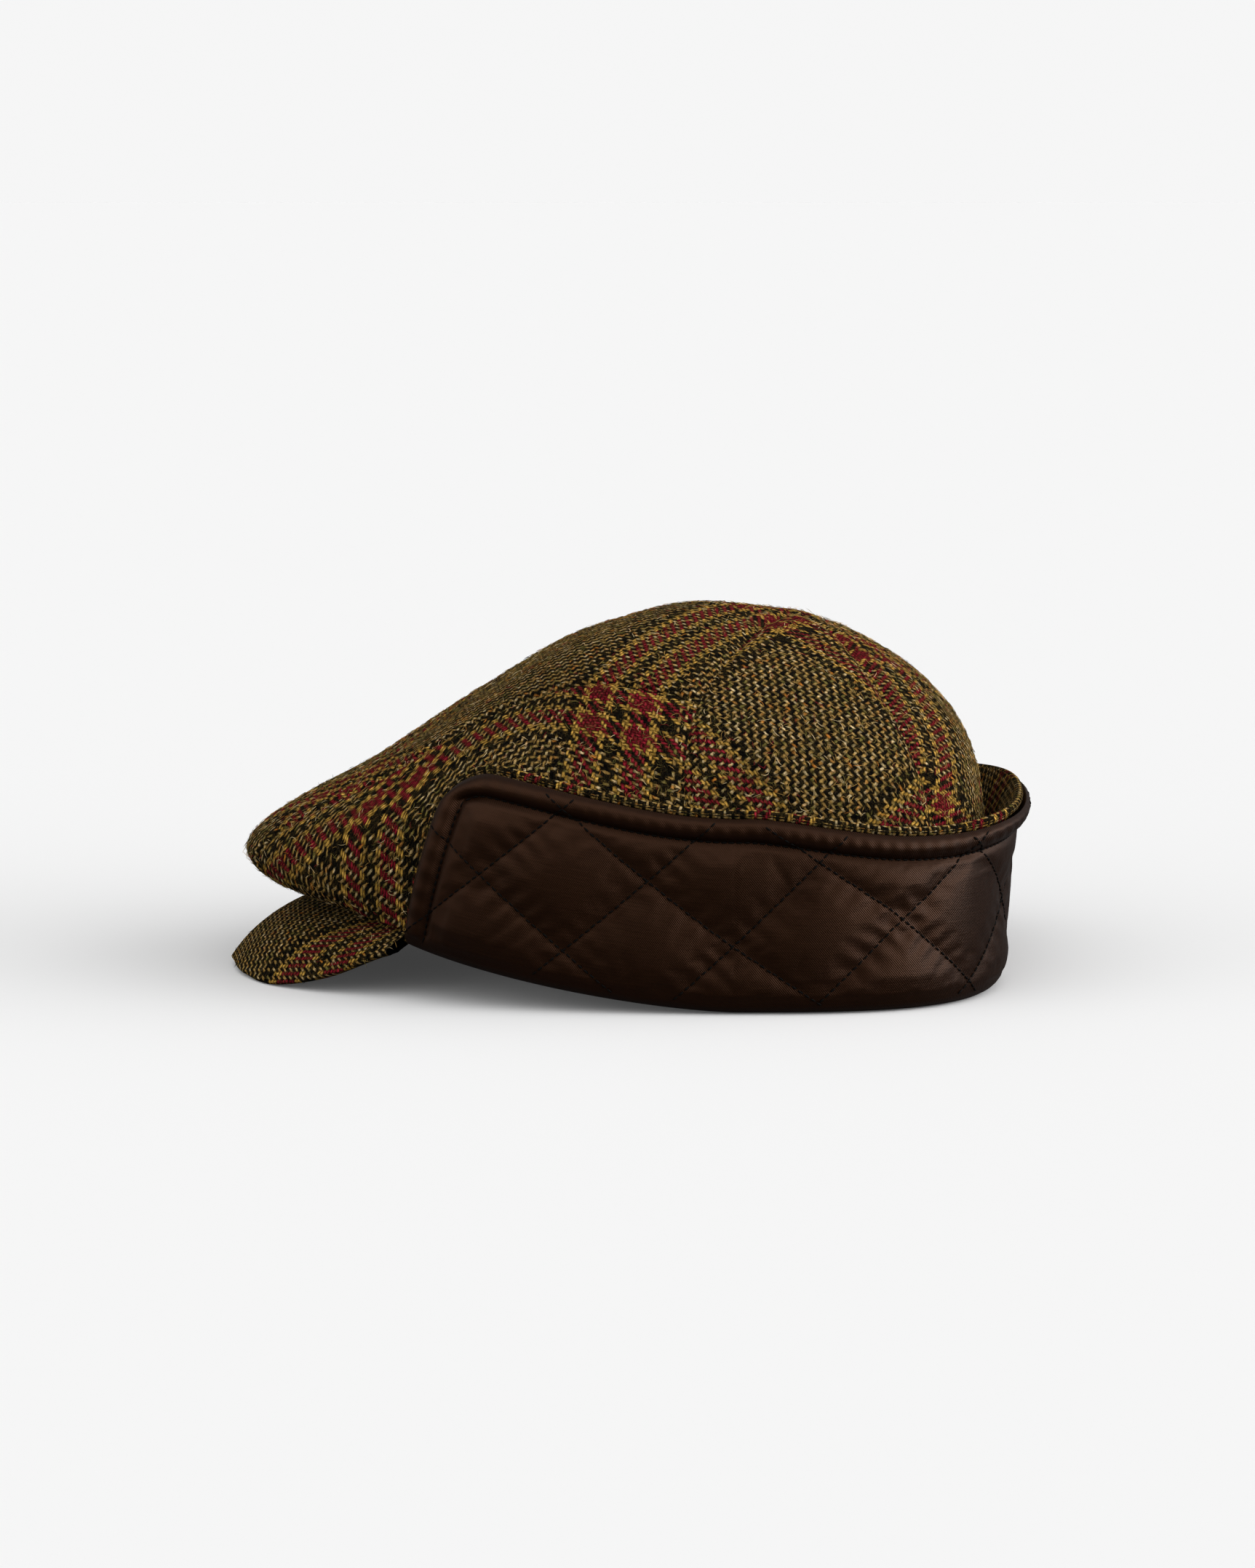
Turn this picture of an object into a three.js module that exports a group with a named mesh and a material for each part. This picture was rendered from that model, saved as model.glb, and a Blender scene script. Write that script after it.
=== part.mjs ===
import * as THREE from "three";

// Tweed driving cap with a quilted ear flap turned up round its sides and back.
// Millimetres, +Z up, the peak toward -X, the wearer's left side toward -Y.

// Cloth and room between the pieces
const CROWN_CLOTH = 2.2;      // tweed with its backing
const SHELL_CLOTH = 2.0;      // tweed face of the flap
const LINING_PAD = 3.2;       // satin with its wadding, away from the puffs
const PEAK_BOARD = 4.2;       // stiffened peak at its root
const PEAK_LIP = 3.0;         // stiffened peak at its free edge
const SEAM_ROOM = 0.34;       // room between two panels sewn edge to edge
const LAYER_ROOM = 0.4;       // room between two layers lying on each other
const CENTRE_SHIFT = 1.01;    // brings the middle of the overall box over the origin

// Rings of the crown, from the head opening up to the point where the gores meet.
// Each ring is an oval: front and back reach, widest place, heights and squareness.
const CROWN_RINGS = table(
  "t front_x front_z front_n mid_x half_width side_z back_x back_z back_n", [
    [0.00, -86.0, 27.0, 4.0, 45, 81.0, 4.8, 119.0, 4.8, 2.9],
    [0.12, -108.0, 29.4, 2.8, 46, 82.0, 16.0, 120.0, 14.0, 2.9],
    [0.24, -126.5, 34.8, 2.4, 46, 83.0, 33.0, 121.0, 30.0, 2.9],
    [0.35, -131.0, 43.2, 2.3, 45, 83.5, 50.0, 121.5, 45.0, 2.8],
    [0.46, -119.0, 54.0, 2.4, 43, 84.5, 66.0, 120.0, 62.0, 2.7],
    [0.60, -89.5, 69.5, 2.5, 39, 80.5, 83.0, 115.6, 79.0, 2.6],
    [0.74, -52.5, 93.8, 2.5, 37, 67.0, 99.0, 107.0, 93.0, 2.5],
    [0.87, -8.0, 118.3, 2.4, 43, 44.5, 114.0, 91.0, 106.8, 2.4],
    [0.95, 26.0, 124.9, 2.3, 51, 20.0, 121.0, 75.5, 115.4, 2.3],
    [1.00, 57.0, 122.2, 2.2, 57, 0.0, 122.2, 57.0, 122.2, 2.2],
  ]);
const RISE_POWER = 1.5;       // how a ring climbs from its sides to its front and back

// Seam between the front panel and the side panels, from the peak up to the quarter panels,
// and the height of the front panel's middle beside it.
const FRONT_SEAM = table("s angle t middle_t", [
  [0.00, 12.0, 0.00, 0.00],
  [0.10, 12.6, 0.10, 0.10],
  [0.22, 14.0, 0.24, 0.24],
  [0.34, 16.0, 0.37, 0.37],
  [0.45, 18.5, 0.49, 0.49],
  [0.56, 22.0, 0.60, 0.60],
  [0.66, 28.0, 0.70, 0.70],
  [0.76, 38.0, 0.76, 0.77],
  [0.86, 54.0, 0.79, 0.815],
  [0.94, 70.0, 0.78, 0.855],
  [1.00, 84.0, 0.757, 0.885],
]);
const QUARTER_ANGLE = 84;     // seam between side and quarter panels, on to the top
const BACK_ANGLE = 130;       // seam between quarter and back panels
const TOP_T = 0.997;          // where the gores' points stop
const SEAM_SHARE = 0.62;      // part of the front panel's rows that run along the side panels

// Outer face of the turned-up flap: its fold ring and, by angle from the front, its free edge.
const FOLD = { front_x: -95.0, front_n: 3.4, mid_x: 35.0, half_width: 90.0, back_x: 128.5, back_n: 3.0 };
const FOLD_RISE = 22.0;       // height of the fold at the reach below
const FOLD_REACH = 121.0;     // distance forward of the widest place
const FLAP_EDGE = table("angle edge_z waist_out edge_out", [
  [36, 83.5, 2.6, -8.5],
  [50, 81.5, 2.0, -7.5],
  [65, 77.5, 0.8, -4.5],
  [78, 71.5, 0.3, -1.2],
  [90, 64.6, 0.3, 0.8],
  [108, 59.0, 0.2, 0.6],
  [128, 57.5, -0.2, 1.5],
  [152, 59.5, -0.9, 5.5],
  [180, 62.5, -1.4, 7.6],
]);
const END_LOW = 41.5;         // angle of the flap's front end at the fold
const END_HIGH = 54.0;        // and at the free edge
const CORNER = 17.0;          // radius of the flap's free corner
const HEM = 7.5;              // stitched hem in from the free edge
const HEM_ROLL = 0.7;         // swell of the hem
const HEM_DIP = 1.1;          // dip at its stitching
const SHELL_SHOWS = 2.6;      // tweed edge standing above the satin
const SHELL_LEADS = 1.4;      // and in front of it
const BEAD = 0.9;             // how far that edge rolls out over the satin

// Quilting: diamonds along the flap, mirrored at the centre back.
const QUILT = { wide: 55.7, high: 46.4, arc: 156.3, height: 22.8, tilt: 0.155, tilt_from: 105, puff: 1.7 };

// Turn of the lining under the fold: depth in from the outer face, height over the fold.
const LINING_TURN = table("out_depth out_height in_depth in_height", [
  [0.0, 8.0, 3.2, 8.2],
  [0.5, 4.6, 3.5, 6.0],
  [1.9, 1.8, 4.3, 4.3],
  [4.0, 0.3, 5.5, 3.3],
  [6.4, 0.0, 7.0, 2.9],
  [9.2, 0.0, 9.2, 2.8],
  [11.8, 0.6, 11.0, 3.1],
  [13.8, 2.4, 12.4, 4.4],
  [14.8, 5.6, 13.2, 7.2],
  [14.8, 14.0, 13.2, 14.0],
  [14.6, 23.0, 13.0, 23.0],
]);

// Free edge of the peak by share of its half width, and its dome.
const PEAK_EDGE = table("share x y z", [
  [0.00, -137.7, 0.0, 2.6],
  [0.35, -131.0, 24.0, 1.7],
  [0.58, -120.0, 40.0, 1.3],
  [0.80, -99.5, 55.0, 7.2],
  [1.00, -78.0, 65.0, 18.0],
]);
const PEAK_ANGLE = 37.5;      // angle of the peak's corners round the head opening
const PEAK_DOME = 18.0;
const FLOOR_TOUCH = 0.0;

const COLOURS = { tweed: 0x7b6a44, tweed_bias: 0x75643f, satin: 0x3a2a20 };

// Helpers

function table(columns, rows) {
  const names = columns.split(" ");
  return rows.map((row) => Object.fromEntries(names.map((name, i) => [name, row[i]])));
}

// Smooth curve through a table's rows
function along(rows, key, name, at) {
  const last = rows.length - 1;
  const place = Math.min(Math.max(at, rows[0][key]), rows[last][key]);
  let i = 0;
  while (i < last - 1 && place > rows[i + 1][key]) i += 1;
  const step = (j) => rows[j + 1][key] - rows[j][key];
  const rate = (j) => (rows[j + 1][name] - rows[j][name]) / step(j);
  const slope = (j) => {
    if (j === 0) return rate(0);
    if (j === last) return rate(last - 1);
    return (rate(j - 1) * step(j) + rate(j) * step(j - 1)) / (step(j - 1) + step(j));
  };
  const h = step(i);
  const u = (place - rows[i][key]) / h;
  const uu = u * u;
  const uuu = uu * u;
  return (2 * uuu - 3 * uu + 1) * rows[i][name] + (uuu - 2 * uu + u) * h * slope(i)
    + (3 * uu - 2 * uuu) * rows[i + 1][name] + (uuu - uu) * h * slope(i + 1);
}

const radians = (degrees) => (degrees * Math.PI) / 180;
const mix = (a, b, share) => a + (b - a) * share;
const spread = (count) => Array.from({ length: count + 1 }, (_, i) => i / count);

// Oval outline at an angle from the front, toward the wearer's left
function oval(angle, ring) {
  const c = Math.cos(radians(angle));
  const s = Math.sin(radians(angle));
  const ahead = c >= 0;
  const power = 2 / (ahead ? ring.front_n : ring.back_n);
  const reach = Math.abs(c) ** power;
  return {
    x: ring.mid_x + ((ahead ? ring.front_x : ring.back_x) - ring.mid_x) * reach,
    y: -ring.half_width * Math.sign(s) * Math.abs(s) ** power,
    reach,
    ahead,
  };
}

function crownPoint(angle, t) {
  const ring = {};
  for (const name of Object.keys(CROWN_RINGS[0])) ring[name] = along(CROWN_RINGS, "t", name, t);
  const at = oval(angle, ring);
  const climb = ((at.ahead ? ring.front_z : ring.back_z) - ring.side_z) * at.reach ** RISE_POWER;
  return new THREE.Vector3(at.x, at.y, ring.side_z + climb);
}

function foldPoint(angle) {
  const at = oval(angle, FOLD);
  const forward = Math.max(FOLD.mid_x - at.x, 0) / FOLD_REACH;
  return new THREE.Vector3(at.x, at.y, FOLD_RISE * forward ** 1.5);
}

// Lengths round a ring from its front, so that columns can be set at even steps
function girthOf(pointAt) {
  const steps = 3600;
  const lengths = [0];
  let before = pointAt(0);
  for (let i = 1; i <= steps; i += 1) {
    const here = pointAt((180 * i) / steps);
    lengths.push(lengths[i - 1] + here.distanceTo(before));
    before = here;
  }
  const half = lengths[steps];
  const at = (angle) => {
    if (angle > 180) return 2 * half - at(360 - angle);
    const place = (angle / 180) * steps;
    const i = Math.min(Math.floor(place), steps - 1);
    return mix(lengths[i], lengths[i + 1], place - i);
  };
  const angleAt = (girth) => {
    if (girth < 0) return -angleAt(-girth);
    if (girth > half) return 360 - angleAt(2 * half - girth);
    let low = 0;
    let high = steps;
    while (high - low > 1) {
      const middle = (low + high) >> 1;
      if (lengths[middle] > girth) high = middle;
      else low = middle;
    }
    const share = (girth - lengths[low]) / (lengths[high] - lengths[low]);
    return ((low + share) * 180) / steps;
  };
  return { half, at, angleAt };
}
const FOLD_GIRTH = girthOf(foldPoint);
const CROWN_GIRTH = girthOf((angle) => crownPoint(angle, 0.35));

// Direction square to a surface given by two shares
function squareTo(surface, u, v) {
  const step = 0.002;
  const du = surface(u + step, v).sub(surface(u - step, v));
  const dv = surface(u, v + step).sub(surface(u, v - step));
  return du.cross(dv).normalize();
}

// Closed wall over a grid of columns and rows: two faces and the strips round their border
function wall(name, colour, columns, rows, facePoint, backPoint) {
  const across = columns.length;
  const up = rows.length;
  const points = [];
  for (const pick of [facePoint, backPoint]) {
    for (const column of columns) {
      for (const row of rows) points.push(pick(column, row));
    }
  }
  const face = (i, j) => i * up + j;
  const back = (i, j) => across * up + i * up + j;
  const index = [];
  const quad = (a, b, c, d) => index.push(a, b, c, a, c, d);
  for (let i = 0; i < across - 1; i += 1) {
    for (let j = 0; j < up - 1; j += 1) {
      quad(face(i, j), face(i + 1, j), face(i + 1, j + 1), face(i, j + 1));
      quad(back(i, j), back(i, j + 1), back(i + 1, j + 1), back(i + 1, j));
    }
    quad(face(i, 0), back(i, 0), back(i + 1, 0), face(i + 1, 0));
    quad(face(i, up - 1), face(i + 1, up - 1), back(i + 1, up - 1), back(i, up - 1));
  }
  for (let j = 0; j < up - 1; j += 1) {
    quad(face(0, j), face(0, j + 1), back(0, j + 1), back(0, j));
    quad(face(across - 1, j), back(across - 1, j), back(across - 1, j + 1), face(across - 1, j + 1));
  }
  let volume = 0;
  for (let k = 0; k < index.length; k += 3) {
    const [a, b, c] = [points[index[k]], points[index[k + 1]], points[index[k + 2]]];
    volume += a.dot(b.clone().cross(c)) / 6;
  }
  if (volume < 0) index.reverse();
  const geometry = new THREE.BufferGeometry();
  const flat = points.flatMap((p) => [p.x + CENTRE_SHIFT, p.y, Math.max(p.z, FLOOR_TOUCH)]);
  geometry.setAttribute("position", new THREE.Float32BufferAttribute(flat, 3));
  geometry.setIndex(index);
  geometry.computeVertexNormals();
  const mesh = new THREE.Mesh(geometry, new THREE.MeshStandardMaterial({ color: colour, roughness: 0.95 }));
  mesh.name = name;
  return mesh;
}

const mirrored = (point) => new THREE.Vector3(point.x, -point.y, point.z);

// Crown panels, each as a patch of the crown's surface over two shares

// Front panel: a tongue from the peak that widens over the top to the quarter panels
function frontPatch(across, s) {
  const seam = Math.min(s / SEAM_SHARE, 1);
  const above = Math.max(s - SEAM_SHARE, 0) / (1 - SEAM_SHARE);
  const edgeT = mix(along(FRONT_SEAM, "s", "t", seam), TOP_T, above);
  const middleT = mix(along(FRONT_SEAM, "s", "middle_t", seam), TOP_T, above);
  const angle = CROWN_GIRTH.angleAt(across * CROWN_GIRTH.at(along(FRONT_SEAM, "s", "angle", seam)));
  return crownPoint(angle, mix(middleT, edgeT, across * across));
}

// Side panel: from the head opening up to the front seam
function sidePatch(length, up) {
  const seam = CROWN_GIRTH.at(along(FRONT_SEAM, "s", "angle", length));
  const rim = mix(CROWN_GIRTH.at(FRONT_SEAM[0].angle + 3), CROWN_GIRTH.at(QUARTER_ANGLE), length);
  return crownPoint(CROWN_GIRTH.angleAt(mix(rim, seam, up)), along(FRONT_SEAM, "s", "t", length) * up);
}

// Gore: between two seams that run up to the top
function gorePatch(from, to) {
  const [start, end] = [CROWN_GIRTH.at(from), CROWN_GIRTH.at(to)];
  return (across, t) => crownPoint(CROWN_GIRTH.angleAt(mix(start, end, across)), t);
}

// A panel keeps half the seam room on the borders it shares with its neighbours
function panel(name, colour, patch, columns, rows, sewn, side = 1) {
  const room = SEAM_ROOM / 2;
  const held = (u, v) => {
    const step = 0.004;
    const perU = patch(u + step, v).distanceTo(patch(u - step, v)) / (2 * step);
    const perV = patch(u, v + step).distanceTo(patch(u, v - step)) / (2 * step);
    const [uLow, uHigh] = [columns[0], columns[columns.length - 1]];
    const [vLow, vHigh] = [rows[0], rows[rows.length - 1]];
    const middle = (uLow + uHigh) / 2;
    const inU = Math.min(room / perU, Math.abs(u - middle) * 0.8);
    let [a, b] = [u, v];
    if (sewn.includes("start") && u === uLow) a += inU;
    if (sewn.includes("end") && u === uHigh) a -= inU;
    if (sewn.includes("first") && v === vLow) b += room / perV;
    if (sewn.includes("last") && v === vHigh) b -= room / perV;
    return [a, b];
  };
  const facePoint = (u, v) => {
    const point = patch(...held(u, v));
    return side > 0 ? point : mirrored(point);
  };
  const backPoint = (u, v) => {
    const [a, b] = held(u, v);
    const inward = squareTo(patch, a, Math.min(b, 0.99)).multiplyScalar(-CROWN_CLOTH);
    const point = patch(a, b).add(inward);
    return side > 0 ? point : mirrored(point);
  };
  return wall(name, colour, columns, rows, facePoint, backPoint);
}

// Flap layers: a place along the flap, a height over the fold and a depth in from the outer face

function edgeHeight(angle) {
  return along(FLAP_EDGE, "angle", "edge_z", angle) - foldPoint(angle).z;
}

function endGirth(height) {
  const share = Math.min(height / 64, 1.1);
  return FOLD_GIRTH.half - FOLD_GIRTH.at(mix(END_LOW, END_HIGH, share));
}

function flapAngle(fromEnd, share, height) {
  const length = endGirth(height);
  return FOLD_GIRTH.angleAt(FOLD_GIRTH.half - mix(length - fromEnd, 0, share));
}

function flapPoint(angle, height, depth) {
  const low = foldPoint(angle);
  const step = 0.05;
  const run = foldPoint(angle + step).sub(foldPoint(angle - step));
  const out = new THREE.Vector3(run.y, -run.x, 0).normalize();
  const w = height / edgeHeight(angle);
  const lean = along(FLAP_EDGE, "angle", "waist_out", angle) * Math.sin(Math.PI * Math.min(Math.max(w, 0), 1))
    + along(FLAP_EDGE, "angle", "edge_out", angle) * Math.max(w, 0) ** 4;
  return new THREE.Vector3(low.x, low.y, low.z + height).addScaledVector(out, lean - depth);
}

// Height of the free edge at a distance from the front end, with its rounded corner
function freeHeight(full, fromEnd, radius) {
  if (fromEnd >= radius) return full;
  const short = radius - Math.max(fromEnd, 0);
  return full - radius + Math.sqrt(Math.max(radius * radius - short * short, 0));
}

// Swell of the satin's outer face: hem roll, dip at the hem stitching, quilted puffs
function relief(fromEnd, height, toEdge, arc) {
  const hem = Math.min(toEdge, Math.max(fromEnd, 0));
  const rise = QUILT.tilt * (QUILT.arc - Math.max(arc, QUILT.tilt_from));
  const a = (arc - QUILT.arc) / QUILT.wide;
  const b = (height - rise - QUILT.height) / QUILT.high;
  const puff = Math.abs(Math.sin(Math.PI * (a + b)) * Math.sin(Math.PI * (a - b))) ** 0.7;
  const field = Math.min(Math.max((hem - HEM) / 9, 0), 1) * Math.min(Math.max((height - 3) / 9, 0), 1);
  if (hem < HEM) return HEM_ROLL * Math.sin((Math.PI * hem) / HEM) - HEM_DIP * (hem / HEM) ** 6;
  return QUILT.puff * puff * field - HEM_DIP * Math.max(1 - (hem - HEM) / 3, 0);
}

// Columns of the flap: close set over the hem of each front end, then even steps to the back
function flapColumns(lead, even) {
  const near = [-lead, 0.9, 2.4, 4.6, HEM, 10.5, CORNER].map((fromEnd) => ({ fromEnd, share: 0 }));
  if (lead > 0) near.splice(1, 1);
  const far = spread(even).slice(1).map((share) => ({ fromEnd: CORNER, share }));
  const left = [...near, ...far].map((column) => ({ ...column, side: 1 }));
  const right = left.slice(0, -1).reverse().map((column) => ({ ...column, side: -1 }));
  return [...left, ...right];
}

function onSide(column, point) {
  return column.side > 0 ? point : mirrored(point);
}

function liningPlace(column, row) {
  if (row.turn) {
    const angle = flapAngle(column.fromEnd, column.share, row.turn.out_height);
    return { angle, height: row.turn.out_height, backHeight: row.turn.in_height,
      depth: row.turn.out_depth, backDepth: row.turn.in_depth };
  }
  const guess = flapAngle(column.fromEnd, column.share, 40);
  const full = edgeHeight(guess);
  const free = freeHeight(full, column.share > 0 ? CORNER : column.fromEnd, CORNER);
  const start = LINING_TURN[0].out_height;
  const height = row.toEdge === undefined ? mix(free - 11, start, row.share) : free - row.toEdge;
  const angle = flapAngle(column.fromEnd, column.share, height);
  const arc = FOLD_GIRTH.half - FOLD_GIRTH.at(angle);
  const fromEnd = column.share > 0 ? CORNER + 20 : column.fromEnd;
  const swell = relief(fromEnd, height, free - height, arc);
  const lip = Math.min(Math.min(free - height, Math.max(fromEnd, 0)) / 1.5, 1);
  return { angle, height, backHeight: height, depth: 0.9 * (1 - lip) - swell, backDepth: mix(2.5, LINING_PAD, lip) };
}

const liningRows = [
  ...[0, 1.6, 4.2, HEM, 11].map((toEdge) => ({ toEdge })),
  ...[0.2, 0.4, 0.6, 0.8].map((share) => ({ share })),
  ...LINING_TURN.map((turn) => ({ turn })),
];

function flapLining() {
  const facePoint = (column, row) => {
    const at = liningPlace(column, row);
    return onSide(column, flapPoint(at.angle, at.height, at.depth));
  };
  const backPoint = (column, row) => {
    const at = liningPlace(column, row);
    return onSide(column, flapPoint(at.angle, at.backHeight, at.backDepth));
  };
  return wall("flap_lining", COLOURS.satin, flapColumns(0, 24), liningRows, facePoint, backPoint);
}

// Tweed face of the flap, behind the satin, its edge rolled a little over it
const SHELL_DEPTH = LINING_PAD + LAYER_ROOM;
const SHELL_FOOT = 7.0;

function shellPlace(column, row) {
  const guess = flapAngle(Math.max(column.fromEnd, 0), column.share, 40);
  const radius = CORNER + SHELL_LEADS;
  const fromEnd = column.share > 0 ? radius : column.fromEnd + SHELL_LEADS;
  const free = freeHeight(edgeHeight(guess) + SHELL_SHOWS, fromEnd, radius);
  const height = row.toEdge === undefined ? mix(free - 12, SHELL_FOOT, row.share) : free - row.toEdge;
  const angle = flapAngle(column.fromEnd, column.share, height);
  const rolled = row.toEdge === undefined ? 0 : row.rolled;
  return { angle, height, depth: SHELL_DEPTH - rolled };
}

const shellRows = [
  { toEdge: 0, rolled: BEAD * 0.4, thin: 0.5 },
  { toEdge: 1.1, rolled: BEAD, thin: 0 },
  { toEdge: 2.0, rolled: BEAD * 0.7, thin: 0 },
  { toEdge: 4.0, rolled: 0, thin: 0 },
  { toEdge: 12.0, rolled: 0, thin: 0 },
  { share: 0.33, thin: 0 },
  { share: 0.66, thin: 0 },
  { share: 1, thin: 0 },
];

function flapShell() {
  const facePoint = (column, row) => {
    const at = shellPlace(column, row);
    return onSide(column, flapPoint(at.angle, at.height, at.depth));
  };
  const backPoint = (column, row) => {
    const at = shellPlace(column, row);
    return onSide(column, flapPoint(at.angle, at.height, SHELL_DEPTH + SHELL_CLOTH - row.thin));
  };
  return wall("flap_shell", COLOURS.tweed, flapColumns(SHELL_LEADS, 24), shellRows, facePoint, backPoint);
}

// Peak: from under the crown's front rim out to its free edge

function peakPatch(across, out) {
  const share = Math.min(Math.abs(across), 1);
  const root = crownPoint(CROWN_GIRTH.angleAt(-across * CROWN_GIRTH.at(PEAK_ANGLE)), 0);
  root.z -= LAYER_ROOM + 0.3;
  const edge = new THREE.Vector3(
    along(PEAK_EDGE, "share", "x", share),
    Math.sign(across) * along(PEAK_EDGE, "share", "y", share),
    along(PEAK_EDGE, "share", "z", share));
  const point = root.lerp(edge, out);
  point.z += PEAK_DOME * out * (1 - out ** 3) * (1 - share * share);
  return point;
}

function peak() {
  const backPoint = (across, out) => {
    const thick = mix(PEAK_BOARD, PEAK_LIP, Math.max(out - 0.8, 0) / 0.2);
    const down = squareTo(peakPatch, across, Math.min(out, 0.995));
    return peakPatch(across, out).addScaledVector(down, down.z > 0 ? -thick : thick);
  };
  const columns = spread(22).map((share) => share * 1.96 - 0.98);
  return wall("peak", COLOURS.tweed, columns, [0, 0.25, 0.5, 0.7, 0.85, 0.95, 1], peakPatch, backPoint);
}

// Steps along the seams, shared by the panels on either side of them
const seamSteps = [0.08, 0.16, 0.25, 0.34, 0.42, 0.5, 0.58, 0.66, 0.74, 0.82, 0.89, 0.95, 1];
const seamTop = FRONT_SEAM[FRONT_SEAM.length - 1].t;
const lowRows = [0, 0.08, 0.16, 0.24, 0.31, 0.38, 0.45, 0.52, 0.6, 0.68, seamTop];
const highRows = [0.8, 0.85, 0.9, 0.95, 0.98, TOP_T];
const goreRows = [...lowRows, ...highRows];
const sideRows = lowRows.map((t) => t / seamTop);
const frontRows = [0, ...seamSteps.map((s) => s * SEAM_SHARE),
  ...highRows.map((t) => mix(SEAM_SHARE, 1, (t - seamTop) / (TOP_T - seamTop)))];
const quarter = gorePatch(QUARTER_ANGLE, BACK_ANGLE);
const rear = gorePatch(BACK_ANGLE, 360 - BACK_ANGLE);

const cap = new THREE.Group();
cap.name = "driving_cap";
cap.add(
  panel("crown_front", COLOURS.tweed_bias, frontPatch, spread(12).map((v) => v * 2 - 1), frontRows, "start end"),
  panel("crown_side_left", COLOURS.tweed, sidePatch, seamSteps, sideRows, "end last", 1),
  panel("crown_side_right", COLOURS.tweed, sidePatch, seamSteps, sideRows, "end last", -1),
  panel("crown_quarter_left", COLOURS.tweed_bias, quarter, spread(6), goreRows, "start end", 1),
  panel("crown_quarter_right", COLOURS.tweed_bias, quarter, spread(6), goreRows, "start end", -1),
  panel("crown_back", COLOURS.tweed_bias, rear, spread(12), goreRows, "start end"),
  peak(),
  flapShell(),
  flapLining(),
);

export default cap;
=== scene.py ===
import math
import bpy
import numpy as np
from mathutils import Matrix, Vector, noise


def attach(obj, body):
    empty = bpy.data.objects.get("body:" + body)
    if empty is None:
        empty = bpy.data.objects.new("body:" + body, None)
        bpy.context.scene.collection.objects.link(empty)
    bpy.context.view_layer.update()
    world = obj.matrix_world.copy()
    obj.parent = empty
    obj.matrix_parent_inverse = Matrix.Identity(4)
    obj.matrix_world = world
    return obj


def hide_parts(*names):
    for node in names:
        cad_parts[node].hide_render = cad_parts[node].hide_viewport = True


# Tweed driving cap with a quilted satin ear flap turned up round its sides and back.
# The tables and functions hold millimetres; the meshes are made in metres.
# The peak points toward -X and the wearer's left side toward -Y.

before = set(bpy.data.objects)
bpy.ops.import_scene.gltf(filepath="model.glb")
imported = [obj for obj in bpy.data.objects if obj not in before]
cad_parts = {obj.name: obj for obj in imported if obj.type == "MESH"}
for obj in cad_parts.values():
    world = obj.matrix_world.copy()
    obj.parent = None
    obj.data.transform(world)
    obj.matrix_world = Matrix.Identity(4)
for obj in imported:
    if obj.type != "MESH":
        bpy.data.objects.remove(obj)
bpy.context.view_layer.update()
SCENE = bpy.context.scene
MM = 0.001

# Thickness of the cloth, and the shift that centres the cap
CROWN_CLOTH = 2.2
SHELL_CLOTH = 2.0
LINING_PAD = 2.4
PEAK_BOARD = 4.2
PEAK_LIP = 3.0
CENTRE_SHIFT = np.array([1.01, 0, 0])

# Pitch of the tweed's yarns, and UV units for a millimetre of cloth
FINE_PITCH = 0.90
BROAD_PITCH = 1.12
SIDE_PITCH = 1.0
UV_SCALE = 0.01

# Crown rings: t, front x, front z, front squareness, widest x, half width, side z, back x, back z,
# back squareness
CROWN_RINGS = np.array([
    (0.00, -86.0, 27.0, 4.0, 45, 81.0, 4.8, 119.0, 4.8, 2.9),
    (0.12, -108.0, 29.4, 2.8, 46, 82.0, 16.0, 120.0, 14.0, 2.9),
    (0.24, -126.5, 34.8, 2.4, 46, 83.0, 33.0, 121.0, 30.0, 2.9),
    (0.35, -131.0, 43.2, 2.3, 45, 83.5, 50.0, 121.5, 45.0, 2.8),
    (0.46, -119.0, 54.0, 2.4, 43, 84.5, 66.0, 120.0, 62.0, 2.7),
    (0.60, -89.5, 69.5, 2.5, 39, 80.5, 83.0, 115.6, 79.0, 2.6),
    (0.74, -52.5, 93.8, 2.5, 37, 67.0, 99.0, 107.0, 93.0, 2.5),
    (0.87, -8.0, 118.3, 2.4, 43, 44.5, 114.0, 91.0, 106.8, 2.4),
    (0.95, 26.0, 124.9, 2.3, 51, 20.0, 121.0, 75.5, 115.4, 2.3),
    (1.00, 57.0, 122.2, 2.2, 57, 0.0, 122.2, 57.0, 122.2, 2.2),
])
RISE_POWER = 1.5
GIRTH_T = 0.35
GIRTH_STEPS = 7200

# Seam between the front and side panels: share, angle, t, and t of the front panel's middle beside it
FRONT_SEAM = np.array([
    (0.00, 12.0, 0.00, 0.00),
    (0.10, 12.6, 0.10, 0.10),
    (0.22, 14.0, 0.24, 0.24),
    (0.34, 16.0, 0.37, 0.37),
    (0.45, 18.5, 0.49, 0.49),
    (0.56, 22.0, 0.60, 0.60),
    (0.66, 28.0, 0.70, 0.70),
    (0.76, 38.0, 0.76, 0.77),
    (0.86, 54.0, 0.79, 0.815),
    (0.94, 70.0, 0.78, 0.855),
    (1.00, 84.0, 0.757, 0.885),
])
# Angles of the gores' front seams, the panels' top, the part of the front panel that this seam borders,
# and how far behind its foot the side panel starts
QUARTER_ANGLE = 84
BACK_ANGLE = 130
TOP_T = 0.997
SEAM_SHARE = 0.62
SIDE_LAG = 3

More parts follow.
